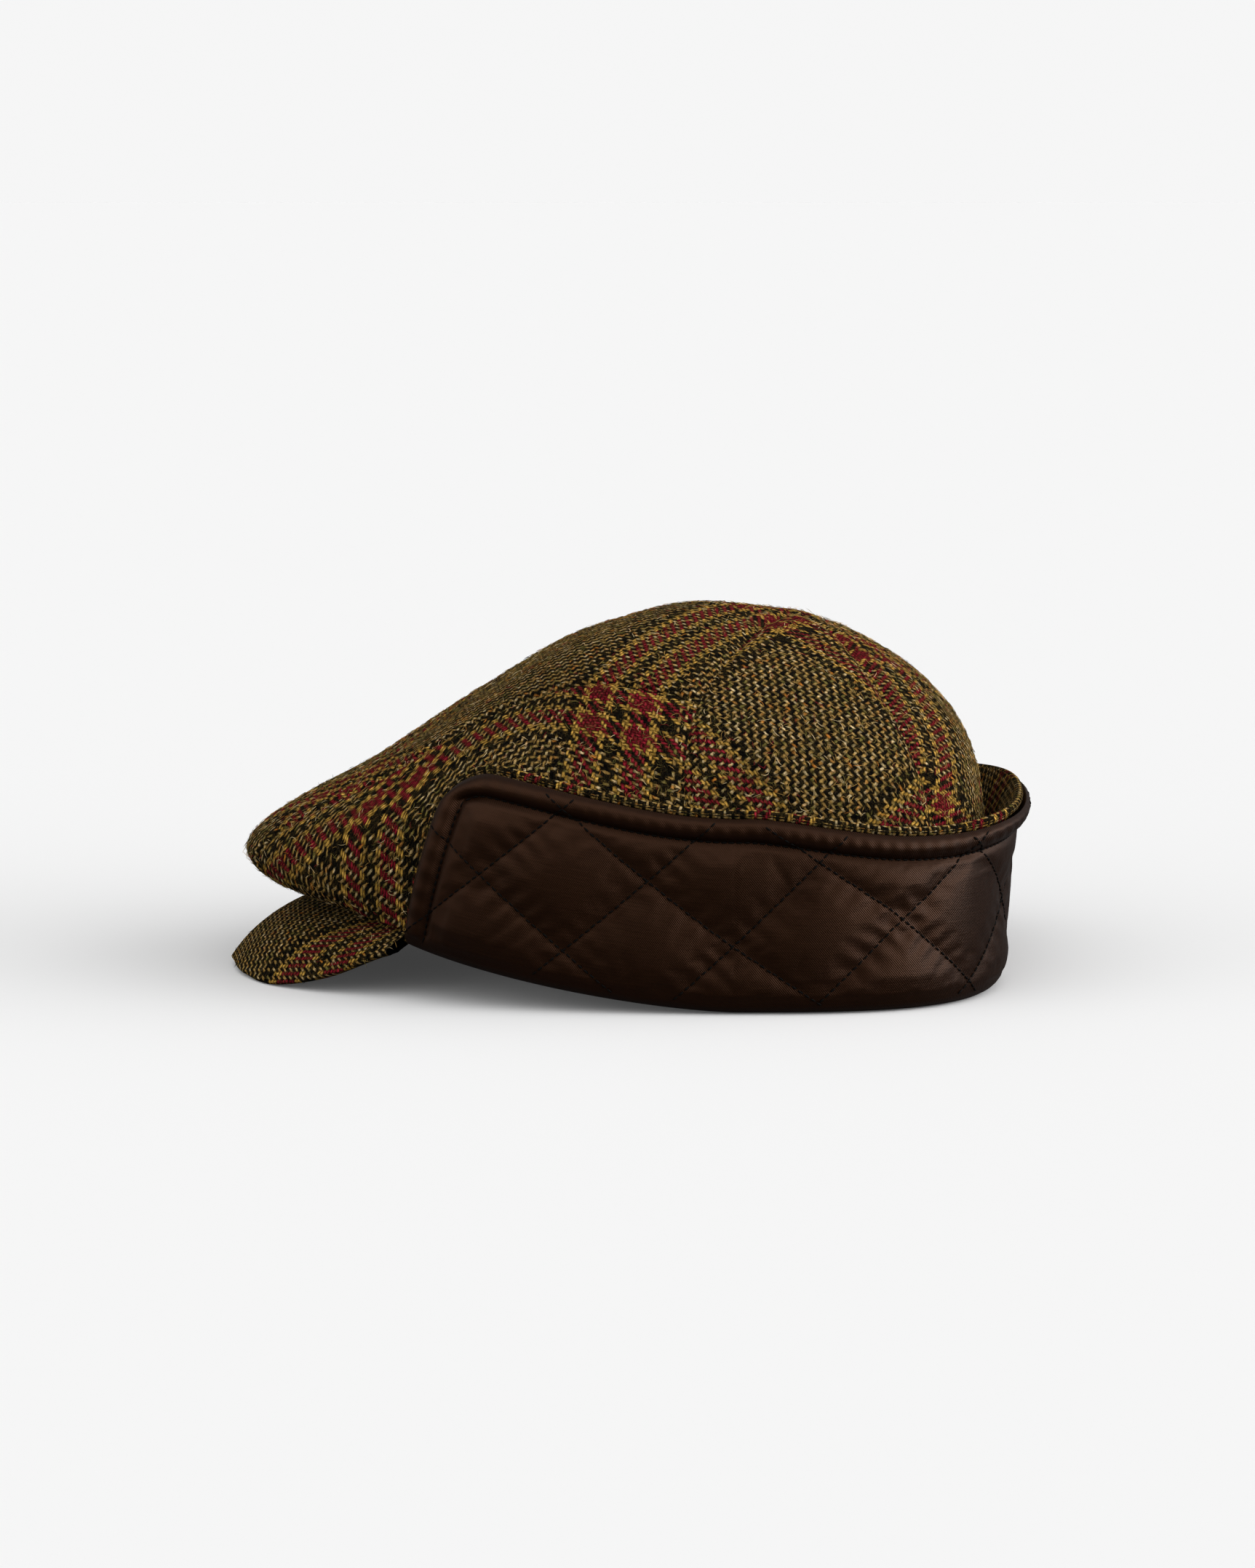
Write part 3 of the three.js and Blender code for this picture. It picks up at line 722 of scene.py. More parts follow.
def tweed_group(yarn):
    """Two-and-two twill of the check: colour, with painted shade and highlight that follow the yarns' relief,
    and the height of its yarns.
    """
    group, inside, outside = new_group(
        "tweed weave",
        [("Cloth", "NodeSocketVector", None),
         ("Warp pitch", "NodeSocketFloat", BROAD_PITCH), ("Weft pitch", "NodeSocketFloat", FINE_PITCH),
         ("Warp repeat", "NodeSocketFloat", BROAD_REPEAT),
         ("Weft repeat", "NodeSocketFloat", BROAD_REPEAT)],
        [("Colour", "NodeSocketColor"), ("Height", "NodeSocketFloat")])
    n = Nodes(group)
    cloth, warp_pitch, weft_pitch, warp_repeat, weft_repeat = inside.outputs[:5]
    run, rise, _ = n.split(cloth)
    u = n.math("DIVIDE", run, n.math("MULTIPLY", warp_pitch, UV_SCALE))
    v = n.math("DIVIDE", rise, n.math("MULTIPLY", weft_pitch, UV_SCALE))
    threads = n.vector(u, v)
    strays = []
    for offset in ((0.0, 0.0, 0.0), (37.0, 91.0, 0.0)):
        strays.append(n.math("SUBTRACT", n.noise(n.shifted(threads, offset), 0.75, 5.0, 0.72), 0.5))
    u = n.plus(u, strays[0], WANDER)
    v = n.plus(v, strays[1], WANDER)
    colours = []
    for across, along, seed, repeat in ((u, v, 11.3, warp_repeat), (v, u, 57.9, weft_repeat)):
        made = n.node("ShaderNodeGroup", node_tree=yarn)
        n.link(across, made.inputs["Across"])
        n.link(along, made.inputs["Along"])
        made.inputs["Seed"].default_value = seed
        n.link(repeat, made.inputs["Repeat"])
        colours.append(made.outputs[0])
    warp_number = n.math("FLOOR", u)
    weft_number = n.math("FLOOR", v)
    step = n.math("FLOORED_MODULO", n.math("ADD", warp_number, weft_number), 4.0)
    warp_up = n.math("LESS_THAN", step, 1.5)
    colour = n.mix_colour(warp_up, colours[1], colours[0])
    # Rounded yarn: high along its middle, low where it goes under its neighbour
    warp_float = n.math("DIVIDE", n.math("FLOORED_MODULO", n.math("ADD", v, warp_number), 4.0), 2.0)
    weft_float = n.math("FLOORED_MODULO", n.math("ADD", u, weft_number), 4.0)
    weft_float = n.math("DIVIDE", n.math("SUBTRACT", weft_float, 2.0), 2.0)
    heights = []
    for across, along in ((u, warp_float), (v, weft_float)):
        off = n.math("MULTIPLY", n.math("SUBTRACT", n.math("FRACT", across), 0.5), 2.1)
        full = n.math("SQRT", n.math("SUBTRACT", 1.0, n.math("MULTIPLY", off, off), clamp=True))
        held = n.math("MINIMUM", n.math("MAXIMUM", along, 0.0), 1.0)
        arch = n.math("SINE", n.math("MULTIPLY", held, math.pi))
        heights.append(n.math("MULTIPLY", full, n.plus(0.25, arch, 0.75)))
    height = n.mix_value(warp_up, heights[1], heights[0])
    hair = n.noise(threads, 4.3, 3.0, 0.7)
    # Painted shade and highlight: the colour is lighter along the yarns' raised middles and darker toward
    # their edges, where they dip under a neighbour and in the gaps between them; the hairy noise, which also
    # roughens the bump, varies it further.
    depth = n.plus(0.05, n.math("POWER", height, 1.3), 1.2)
    colour = n.shade(colour, n.math("MULTIPLY", depth, n.plus(0.35, hair, 1.3)))
    # Loose fibres that curl over the yarns
    tone = n.noise(threads, 0.9, 1.0)
    loose = n.mix_colour(n.above(tone, 0.35, 3.3), OLIVE_YARN, GOLD_YARN)
    for scale, shift in ((0.85, (13.0, 5.0, 0.0)), (1.35, (71.0, 29.0, 0.0))):
        moved = n.shifted(threads, shift)
        curl = n.math("ABSOLUTE", n.math("SUBTRACT", n.noise(moved, scale, 2.0, 0.6), 0.5))
        patch = n.above(n.noise(moved, 0.33, 1.0), 0.42, 6.0)
        share = n.math("MULTIPLY", n.math("MULTIPLY", n.above(0.017, curl, 70.0), patch), 0.28)
        colour = n.mix_colour(share, colour, loose)
        height = n.plus(height, share, 0.5)
    n.link(colour, outside.inputs[0])
    n.link(n.plus(height, hair, 0.8), outside.inputs[1])
    return group


def tweed_material(name, weave, pitches, repeats):
    """Tweed by its own UV map; the pitches and the check's repeats are of its warp and its weft."""
    material, n, shader = new_material(name)
    place = n.node("ShaderNodeUVMap")
    made = n.node("ShaderNodeGroup", node_tree=weave)
    n.link(place.outputs[0], made.inputs["Cloth"])
    made.inputs["Warp pitch"].default_value, made.inputs["Weft pitch"].default_value = pitches
    made.inputs["Warp repeat"].default_value, made.inputs["Weft repeat"].default_value = repeats
    n.link(made.outputs["Colour"], shader.inputs["Base Color"])
    n.link(n.bump(made.outputs["Height"], 0.9, TWEED_RELIEF), shader.inputs["Normal"])
    matt(shader, 0.95, 0.03)
    return material


def satin_material():
    """Dark brown satin with a fine slanted weave and slubs along its threads, and painted shade in the
    grooves of its twill.
    """
    material, n, shader = new_material("brown satin")
    place = n.node("ShaderNodeUVMap")
    threads = n.node("ShaderNodeVectorMath", operation="SCALE")
    n.link(place.outputs[0], threads.inputs[0])
    threads.inputs["Scale"].default_value = 1 / UV_SCALE
    u, v, _ = n.split(threads.outputs[0])
    slant = n.plus(u, v, 0.8)
    twill = n.math("SINE", n.math("MULTIPLY", slant, 2 * math.pi / 0.72))
    slub = n.noise(n.vector(n.math("MULTIPLY", u, 0.10), n.math("MULTIPLY", v, 1.6)), 1.0, 3.0, 0.6)
    cloud = n.noise(threads.outputs[0], 0.05, 2.0)
    # Painted shade and highlight: lighter on the twill's raised ridges and darker in its grooves, following
    # the bump's heights; the slubs and the broad clouds add the satin's own uneven tone.
    share = n.plus(n.math("MULTIPLY", slub, 0.7), cloud, 0.5)
    share = n.math("ADD", n.math("MULTIPLY", twill, 0.22), n.math("SUBTRACT", share, 0.12), clamp=True)
    colour = n.mix_colour(share, (0.0026, 0.0008, 0.0002, 1), (0.0112, 0.0038, 0.0014, 1))
    n.link(colour, shader.inputs["Base Color"])
    n.link(n.plus(0.29, slub, 0.18), shader.inputs["Roughness"])
    n.link(n.bump(n.plus(twill, slub, 2.0), 0.35, SATIN_RELIEF), shader.inputs["Normal"])
    shader.inputs["Specular IOR Level"].default_value = 0.27
    shader.inputs["Specular Tint"].default_value = (1.0, 0.50, 0.30, 1)
    return material


def thread_material():
    """Near black thread, mottled at the scale of its twist."""
    material, n, shader = new_material("sewing thread")
    place = n.node("ShaderNodeTexCoord")
    mottle = n.noise(place.outputs["Object"], 2500.0, 2.0)
    colour = n.mix_colour(mottle, (0.0006, 0.0004, 0.0003, 1), (0.0026, 0.0018, 0.0013, 1))
    n.link(colour, shader.inputs["Base Color"])
    matt(shader, 0.7, 0.08)
    return material


WEAVE = tweed_group(yarn_group())
GORE_TWEED = tweed_material(
    "tweed check", WEAVE, (FINE_PITCH, BROAD_PITCH), (FINE_REPEAT, BROAD_REPEAT))
FRONT_TWEED = tweed_material(
    "tweed check lengthways", WEAVE, (BROAD_PITCH, FINE_PITCH), (BROAD_REPEAT, CLEAR_REPEAT))
SIDE_TWEED = tweed_material(
    "tweed check crossways", WEAVE, (BROAD_PITCH, SIDE_PITCH), (BROAD_REPEAT, SIDE_REPEAT))
SATIN = satin_material()
THREAD_BLACK = thread_material()


# Crown

def spread(count):
    return np.linspace(0, 1, count + 1)


# Seams pulled down, the cloth's swell beside them, and its slack
SEAM_DIP = 1.1
SEAM_WIDTH = 2.0
SEAM_SWELL = 0.35
SEAM_SWELL_AT = 5
SEAM_SWELL_WIDTH = 3
SLACK_SIZE = 34.0
SLACK_HEIGHT = 0.7
SLACK_FROM_SEAM = 12


def crown_panel(points, sewn, seed):
    """Pull a panel's sewn borders down into the seam and give the cloth its slack."""
    distance = seam_distance(points, sewn)
    beside = np.exp(-((distance - SEAM_SWELL_AT) / SEAM_SWELL_WIDTH) ** 2)
    rise = -SEAM_DIP * np.exp(-(distance / SEAM_WIDTH) ** 2) + SEAM_SWELL * beside
    rise = rise + slack(points, SLACK_SIZE, SLACK_HEIGHT, seed) * np.clip(distance / SLACK_FROM_SEAM, 0, 1)
    return points + outward(points) * rise[..., None]


def grid_of(patch, columns, rows):
    """A patch's points for each pair of a column and a row."""
    u, v = np.meshgrid(columns, rows, indexing="ij")
    return patch(u, v)


def crown_piece(name, node, points, cloth, tweed):
    """One crown panel, backed with satin inside the cap; cloth is its flat cut, or says how it is cut."""
    piece, across, up = grid_piece(name, points)
    if callable(cloth):
        cloth = cloth(cut_flat(piece, across, up, points.shape[:2]), points)
    lay_cloth(piece, across, up, cloth)
    piece.data.materials.append(tweed)
    piece.data.materials.append(SATIN)
    give_thickness(piece, CROWN_CLOTH, lining=True)
    smooth_shade(piece)
    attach(piece, "root")
    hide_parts(node)
    return cloth


def bias_cut(columns, rows, degrees, shift):
    """Way to cut a panel with its middle line turned from the cloth's first threads."""
    foot, head = (columns // 2, 0), (columns // 2, rows)
    return lambda flat, points: turned(true_scale(flat, points, foot, head), degrees, shift)


# Check on the side panel: run from the quarter seam, drop of the check's lower burgundy line, place along
# the cloth and lean of the threads that cross it
SIDE_CHECK = np.array([
    (-12.0, 30.0, -23.0, 0.25),
    (10.0, 20.5, -3.0, 0.25),
    (23.5, 12.6, 10.0, 0.26),
    (38.6, 2.9, 24.0, 0.26),
    (52.0, -4.6, 38.5, 0.28),
    (67.0, -7.2, 53.5, 0.30),
    (78.0, -6.2, 63.5, 0.33),
    (92.0, -0.6, 77.0, 0.36),
    (102.3, 5.5, 86.0, 0.37),
    (118.6, 12.8, 100.0, 0.36),
    (130.0, 17.5, 111.5, 0.34),
    (146.0, 24.0, 127.0, 0.30),
    (175.0, 36.0, 156.0, 0.28),
])
CHECK_LOWER_LINE = LOWER_BURGUNDY * BROAD_PITCH
EASE_ROUNDS = 6
EASE_STEP = 0.6


def side_cut(flat, points):
    """The side panel's cloth, eased so that its check follows the seam over the ear."""
    flat = true_scale(flat, points, (SIDE_COLUMNS, SIDE_ROWS), (SIDE_COLUMNS // 2, SIDE_ROWS))
    run, drop = flat[..., 0], flat[..., 1]
    foot = run
    for _ in range(EASE_ROUNDS):
        leant = run - curve(SIDE_CHECK, 3, foot) * (drop - curve(SIDE_CHECK, 1, foot))
        foot = mix(foot, leant, EASE_STEP)
    across = CHECK_LOWER_LINE + drop - curve(SIDE_CHECK, 1, run)
    beyond = np.minimum(foot - SIDE_CHECK[0, 0], 0) + np.maximum(foot - SIDE_CHECK[-1, 0], 0)
    return np.stack([across, curve(SIDE_CHECK, 2, foot) + beyond], -1)


FRONT_COLUMNS, FRONT_ROWS = 100, 150
SIDE_COLUMNS, SIDE_ROWS = 120, 64
QUARTER_COLUMNS, BACK_COLUMNS, GORE_ROWS = 46, 90, 100
SIDE_FROM = 0.03

# Cut of the front, quarter and back panels: turn from the threads, and shift on the check
FRONT_CUT = bias_cut(FRONT_COLUMNS, FRONT_ROWS, 47, (47.5, -34.0))
QUARTER_CUT = bias_cut(QUARTER_COLUMNS, GORE_ROWS, 49, (-1.9, -5.1))
BACK_CUT = bias_cut(BACK_COLUMNS, GORE_ROWS, 45, (19.6, 18.3))

gore_up = TOP_T * spread(GORE_ROWS)
quarter_patch = gore_patch(QUARTER_ANGLE, BACK_ANGLE)
back_patch = gore_patch(BACK_ANGLE, 360 - BACK_ANGLE)
side_run = mix(SIDE_FROM, 1.0, spread(SIDE_COLUMNS))
front_across = spread(FRONT_COLUMNS) * 2 - 1
FRONT = crown_panel(grid_of(front_patch, front_across, spread(FRONT_ROWS)), ("start", "end"), 1.0)
SIDE = crown_panel(grid_of(side_patch, side_run, spread(SIDE_ROWS)), ("end", "last"), 2.0)
QUARTER = crown_panel(grid_of(quarter_patch, spread(QUARTER_COLUMNS), gore_up), ("start", "end"), 3.0)
BACK = crown_panel(grid_of(back_patch, spread(BACK_COLUMNS), gore_up), ("start", "end"), 4.0)

crown_piece("crown_front_panel", "crown_front", FRONT, FRONT_CUT, FRONT_TWEED)
side_cloth = crown_piece("crown_side_panel_left", "crown_side_left", SIDE, side_cut, SIDE_TWEED)
crown_piece("crown_side_panel_right", "crown_side_right", mirrored(SIDE), side_cloth[::-1], SIDE_TWEED)
quarter_cloth = crown_piece(
    "crown_quarter_panel_left", "crown_quarter_left", QUARTER, QUARTER_CUT, GORE_TWEED)
crown_piece(
    "crown_quarter_panel_right", "crown_quarter_right", mirrored(QUARTER), quarter_cloth[::-1], GORE_TWEED)
crown_piece("crown_back_panel", "crown_back", BACK, BACK_CUT, GORE_TWEED)


# Peak: grid, the board's thinning and lip, and the cut of its cloth

PEAK_COLUMNS = 90
PEAK_WIDE = 0.98
PEAK_OUT = np.concatenate([np.linspace(0, 0.9, 28), np.linspace(0.92, 0.995, 8)])
PEAK_THINS = 0.8
LIP_TURNS = np.radians([65, 40, 15, -15, -40, -65])
LIP_ROUND = 0.75
PEAK_GRAIN_ROW = 20
PEAK_SHIFT = (-40.0, 31.0)


def peak_points():
    """Closed section of the peak: over its top, round its lip and back along its underside."""
    across = spread(PEAK_COLUMNS) * (2 * PEAK_WIDE) - PEAK_WIDE
    grid_u, grid_v = np.meshgrid(across, PEAK_OUT, indexing="ij")
    top = peak_patch(grid_u, grid_v)
    square = outward(top)
    square = square * np.where(square[..., 2:] < 0, -1, 1)
    thin = np.clip((grid_v - PEAK_THINS) / (1 - PEAK_THINS), 0, 1)
    thick = mix(PEAK_BOARD, PEAK_LIP, thin)[..., None]
    under = top - square * thick
    edge = peak_patch(across, np.ones_like(across))
    last = top[:, -1]
    away = unit(edge - last)
    low = under[:, -1]
    middle = (last + low) / 2
    radius = np.linalg.norm(last - low, axis=-1, keepdims=True) / 2
    up = (last - low) / (2 * radius)
    lip = [middle + up * radius * math.sin(turn) + away * radius * LIP_ROUND * math.cos(turn)
           for turn in LIP_TURNS]
    return np.concatenate([top, np.stack(lip, 1), under[:, ::-1]], 1)


def close_loops(piece):
    """Join the open borders of a swept section and cap its ends."""
    pick(piece)
    bpy.ops.object.mode_set(mode="EDIT")
    bpy.ops.mesh.select_all(action="DESELECT")
    bpy.ops.mesh.select_mode(type="EDGE")
    bpy.ops.mesh.select_non_manifold(
        extend=False, use_wire=False, use_multi_face=False, use_non_contiguous=False, use_verts=False)
    bpy.ops.mesh.fill()
    bpy.ops.mesh.select_all(action="SELECT")
    bpy.ops.mesh.normals_make_consistent(inside=False)
    bpy.ops.object.mode_set(mode="OBJECT")


PEAK = peak_points()[::-1]
peak_piece, peak_across, peak_up = grid_piece("peak_cloth", PEAK)
peak_round = run_lengths(PEAK, 1)
peak_wide = run_lengths(PEAK, 0)[:, PEAK_GRAIN_ROW]
peak_wide = (peak_wide - peak_wide[PEAK_COLUMNS // 2])[:, None]
peak_cloth = np.stack(np.broadcast_arrays(peak_wide, peak_round), -1) + np.array(PEAK_SHIFT)
lay_cloth(peak_piece, peak_across, peak_up, peak_cloth)
peak_piece.data.materials.append(FRONT_TWEED)
close_loops(peak_piece)
smooth_shade(peak_piece)
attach(peak_piece, "root")
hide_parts("peak")


# Flap

# Columns of the flap's grids at its front end and round its corner, and a length clear of the corner
END_STEPS = np.array([0, 0.5, 1.1])
CORNER_START = 1.8
CORNER_STEP = 0.9
LEAST_STEP = 0.2
PAST_CORNER = 20


def flap_columns(lead, steps):
    """Columns of half the flap: lengths from its front end round the corner, then shares of the way back."""
    near = np.concatenate([END_STEPS - lead, np.arange(CORNER_START, CORNER, CORNER_STEP), [CORNER]])
    near = near[np.concatenate([[True], np.diff(near) > LEAST_STEP])]
    share = spread(steps)[1:]
    from_end = np.concatenate([near, np.full(steps, CORNER)])
    share = np.concatenate([np.zeros(len(near)), share])
    return from_end, share


def both_sides(points):
    """A half of the flap and its mirror image, in one row of columns."""
    return np.concatenate([points, points[-2::-1] * TO_RIGHT], 0)


def both_cloths(cloth):
    """The cloth of both halves, measured from the centre back."""
    return np.concatenate([cloth * np.array([-1, 1]), cloth[-2::-1]], 0)


# Grid of the lining, the hem's edge tucked in, and how far past the hem its stitching holds the satin
LINING_COLUMNS = 230
LINING_ROWS = 46
HEM_ROWS = np.array([0, 0.4, 0.9, 1.5, 2.3, 3.2, 4.2, 5.2, 6.1, 6.8, 7.3, 7.8, 8.4, 9.2, 10.1, 11.0])
LINING_FOOT = 6.2
HEM_TUCK = 0.9
HEM_TUCK_WIDTH = 1.5
HEM_HELD = 0.9


def lining_half():
    """Half of the lining: its points, its cloth, and where its stitching holds it."""
    from_end, share = flap_columns(0, LINING_COLUMNS)
    guess = flap_angle(from_end, share, MID_FLAP)
    inward = np.where(share > 0, CORNER + PAST_CORNER, from_end)
    free = free_height(edge_height(guess), inward, CORNER)
    heights = [free - gap for gap in HEM_ROWS]
    heights += [mix(free - HEM_ROWS[-1], LINING_FOOT, step) for step in spread(LINING_ROWS)[1:]]
    heights = np.stack(heights, 1)
    angle = flap_angle(from_end[:, None], share[:, None], heights)
    arc = FOLD_GIRTH.half - FOLD_GIRTH.at(angle)
    gap = free[:, None] - heights
    puff = swell(inward[:, None], heights, gap, arc)
    hem = np.minimum(gap, np.maximum(inward[:, None], 0))
    tuck = HEM_TUCK * (1 - np.clip(hem / HEM_TUCK_WIDTH, 0, 1))
    points = flap_point(angle, heights, tuck - puff)
    turn_height = np.broadcast_to(LINING_TURN[:, 1], (len(from_end), len(LINING_TURN)))
    turn_depth = np.broadcast_to(LINING_TURN[:, 0], turn_height.shape)
    turn_angle = flap_angle(from_end[:, None], share[:, None], turn_height)
    turn = flap_point(turn_angle, turn_height, turn_depth)
    cloth_arc = np.concatenate([arc, FOLD_GIRTH.half - FOLD_GIRTH.at(turn_angle)], 1)
    turn_down = LINING_FOOT - run_lengths(np.concatenate([points[:, -1:], turn], 1), 1)[:, 1:]
    cloth_up = np.concatenate([heights, turn_down], 1)
    gaps, _ = quilt_gaps(arc, heights)
    sewn = (np.minimum(*gaps) < SEWN_WIDTH) | (hem < HEM + HEM_HELD)
    sewn = np.concatenate([sewn, np.ones(turn_angle.shape, bool)], 1)
    return np.concatenate([points, turn], 1), np.stack([cloth_arc, cloth_up], -1), sewn


# Satin between its stitch lines: how wide these hold it, its settings as cloth, with a little spare length,
# how far it may move, and the frames it takes
SEWN_WIDTH = 1.1
SATIN_CLOTH = dict(
    quality=5, mass=0.0006, tension_stiffness=8, compression_stiffness=8, shear_stiffness=4,
    bending_stiffness=0.08, vertex_group_mass="sewn", shrink_min=-0.004, use_pressure=True,
    uniform_pressure_force=2.0)
SATIN_MOVE = 0.8
SETTLE_FRAMES = 14


def settle_satin(piece, sewn):
    """Let the satin between its stitch lines swell and crease as cloth does."""
    before = np.empty(len(piece.data.vertices) * 3)
    piece.data.vertices.foreach_get("co", before)
    held = piece.vertex_groups.new(name="sewn")
    held.add(np.nonzero(sewn)[0].tolist(), 1.0, "REPLACE")
    cloth = piece.modifiers.new("satin", "CLOTH")
    for setting, value in SATIN_CLOTH.items():
        setattr(cloth.settings, setting, value)
    cloth.settings.effector_weights.gravity = 0
    cloth.collision_settings.use_collision = False
    cloth.point_cache.frame_start = 1
    cloth.point_cache.frame_end = SETTLE_FRAMES
    for number in range(1, SETTLE_FRAMES + 1):
        SCENE.frame_set(number)
    apply_modifier(piece, cloth)
    after = np.empty_like(before)
    piece.data.vertices.foreach_get("co", after)
    move = (after - before).reshape(-1, 3)
    reach = np.linalg.norm(move, axis=1, keepdims=True)
    move = move * np.minimum(1, SATIN_MOVE * MM / np.maximum(reach, 1e-9))
    piece.data.vertices.foreach_set("co", (before.reshape(-1, 3) + move).ravel())
    piece.data.update()
    piece.vertex_groups.clear()
    SCENE.frame_set(1)


LINING, LINING_CLOTH, LINING_SEWN = lining_half()
lining_points = both_sides(LINING)[:, ::-1]
lining_cloth = both_cloths(LINING_CLOTH)[:, ::-1]
lining_sewn = np.concatenate([LINING_SEWN, LINING_SEWN[-2::-1]], 0)[:, ::-1]
lining, lining_across, lining_up = grid_piece("flap_lining_satin", lining_points)
lay_cloth(lining, lining_across, lining_up, lining_cloth)
lining.data.materials.append(SATIN)
settle_satin(lining, lining_sewn[lining_across, lining_up])
give_thickness(lining, LINING_PAD, lining=False)
smooth_shade(lining)
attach(lining, "root")
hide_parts("flap_lining")


# Grids of the tweed face and of its roll, the face's corner, how far under the roll it ends, and where the
# roll lies and starts
SHELL_COLUMNS = 150
SHELL_ROWS = 40
SHELL_RADIUS = CORNER + SHELL_LEADS
UNDER_ROLL = 1.6
ROLL_FRONT_STEPS = 60
ROLL_COLUMNS = 300
ROLL_SIDES = 18
ROLL_SET_IN = 0.5
ROLL_FOOT = 3.0
WELD = 0.00002


def shell_edge():
    """Columns of half the tweed face, and the height of its free edge at each."""
    from_end, share = flap_columns(SHELL_LEADS, SHELL_COLUMNS)
    guess = flap_angle(np.maximum(from_end, 0), share, MID_FLAP)
    inward = np.where(share > 0, SHELL_RADIUS, from_end + SHELL_LEADS)
    return from_end, share, free_height(edge_height(guess) + SHELL_SHOWS, inward, SHELL_RADIUS)


def shell_half():
    """Half of the flap's tweed face and its cloth."""
    from_end, share, free = shell_edge()
    heights = np.stack([mix(free - UNDER_ROLL, SHELL_FOOT, step) for step in spread(SHELL_ROWS)], 1)
    angle = flap_angle(from_end[:, None], share[:, None], heights)
    points = flap_point(angle, heights, np.full_like(heights, SHELL_DEPTH))
    cloth = np.stack([FOLD_GIRTH.half - FOLD_GIRTH.at(angle), heights], -1)
    return points, cloth


def edge_line():
    """The flap's outline from the fold up its front end, round the corner and along its free edge."""
    start = flap_angle(np.array(-SHELL_LEADS), np.array(0.0), np.array(MID_FLAP))
    corner_height = float(edge_height(np.maximum(start, FLAP_EDGE[0, 0])) + SHELL_SHOWS - SHELL_RADIUS)
    front_heights = np.linspace(ROLL_FOOT, corner_height, ROLL_FRONT_STEPS)[:-1]
    front_angles = flap_angle(-SHELL_LEADS, 0.0, front_heights)
    from_end, share, heights = shell_edge()
    angles = flap_angle(from_end, share, heights)
    angles = np.concatenate([front_angles, angles])
    heights = np.concatenate([front_heights, heights])
    return angles, heights


def roll_points():
    """A soft roll of tweed swept along the flap's outline."""
    angles, heights = edge_line()
    line = flap_point(angles, heights - ROLL, np.full_like(heights, SHELL_DEPTH + ROLL_SET_IN))
    length = run_lengths(line, 0)
    even = np.linspace(0, length[-1], ROLL_COLUMNS)
    line = np.stack([np.interp(even, length, line[:, k]) for k in range(3)], -1)
    angle = np.interp(even, length, angles)
    along = unit(np.gradient(line, axis=0))
    out = flap_out(angle)
    out = unit(out - along * np.sum(out * along, -1, keepdims=True))
    side = np.cross(along, out)
    turns = np.linspace(0, 2 * math.pi, ROLL_SIDES + 1)
    ring = [line + ROLL * (out * math.cos(turn) + side * math.sin(turn)) for turn in turns]
    cloth = np.stack(np.broadcast_arrays(even[:, None], ROLL_GRAIN + ROLL * turns[None, :]), -1)
    return np.stack(ring, 1), cloth


SHELL, SHELL_UV = shell_half()
shell_points = both_sides(SHELL)[:, ::-1]
shell_cloth = both_cloths(SHELL_UV)[:, ::-1]
shell, shell_across, shell_up = grid_piece("flap_shell_cloth", shell_points)
lay_cloth(shell, shell_across, shell_up, shell_cloth)
shell.data.materials.append(GORE_TWEED)
give_thickness(shell, SHELL_CLOTH, lining=False)

ROLL_RING, ROLL_UV = roll_points()
roll_grid = both_sides(ROLL_RING)
whole_roll = np.array([2 * ROLL_UV[-1, 0, 0], 0])
roll_uv = np.concatenate([ROLL_UV, ROLL_UV[-2::-1] * np.array([-1, 1]) + whole_roll], 0)
roll, roll_across, roll_up = grid_piece("flap_roll", roll_grid)
lay_cloth(roll, roll_across, roll_up, roll_uv)
roll.data.materials.append(GORE_TWEED)
bpy.ops.object.mode_set(mode="EDIT")
bpy.ops.mesh.select_all(action="SELECT")
bpy.ops.mesh.remove_doubles(threshold=WELD)
bpy.ops.mesh.normals_make_consistent(inside=False)
bpy.ops.object.mode_set(mode="OBJECT")
close_loops(roll)

bpy.ops.object.select_all(action="DESELECT")
roll.select_set(True)
shell.select_set(True)
bpy.context.view_layer.objects.active = shell
bpy.ops.object.join()
smooth_shade(shell)
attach(shell, "root")
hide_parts("flap_shell")


# Stitching

def stitch_shape():
    """One stitch as a grain of thread, a millimetre long and thick before it is scaled."""
    bpy.ops.object.select_all(action="DESELECT")
    bpy.ops.mesh.primitive_uv_sphere_add(segments=6, ring_count=6, radius=0.5)
    grain = bpy.context.object
    bpy.ops.object.mode_set(mode="EDIT")
    bpy.ops.mesh.select_all(action="SELECT")
    bpy.ops.transform.rotate(value=math.radians(90), orient_axis="Y", center_override=(0, 0, 0))
    bpy.ops.object.mode_set(mode="OBJECT")
    shape = np.array([vertex.co[:] for vertex in grain.data.vertices])
    faces = [list(polygon.vertices) for polygon in grain.data.polygons]
    bpy.data.objects.remove(grain)
    return shape, faces


# Stitches, how near the flap's edge they come, and the steps along the lines that they follow
STITCH_LONG = 2.0
STITCH_GAP = 0.5
STITCH_THICK = 0.66
STITCH_LIFT = 0.17
STITCH_START = 0.3
STITCH_FROM_EDGE = 0.8
QUILT_STEPS = 1200
QUILT_NUMBERS = range(-5, 6)
LONG_LINE = 30
HEM_LINE_STEPS = 400
HEM_FRONT_STEPS = 80
HEM_LINE_FOOT = 4.0
STITCH_SMOOTH = 60


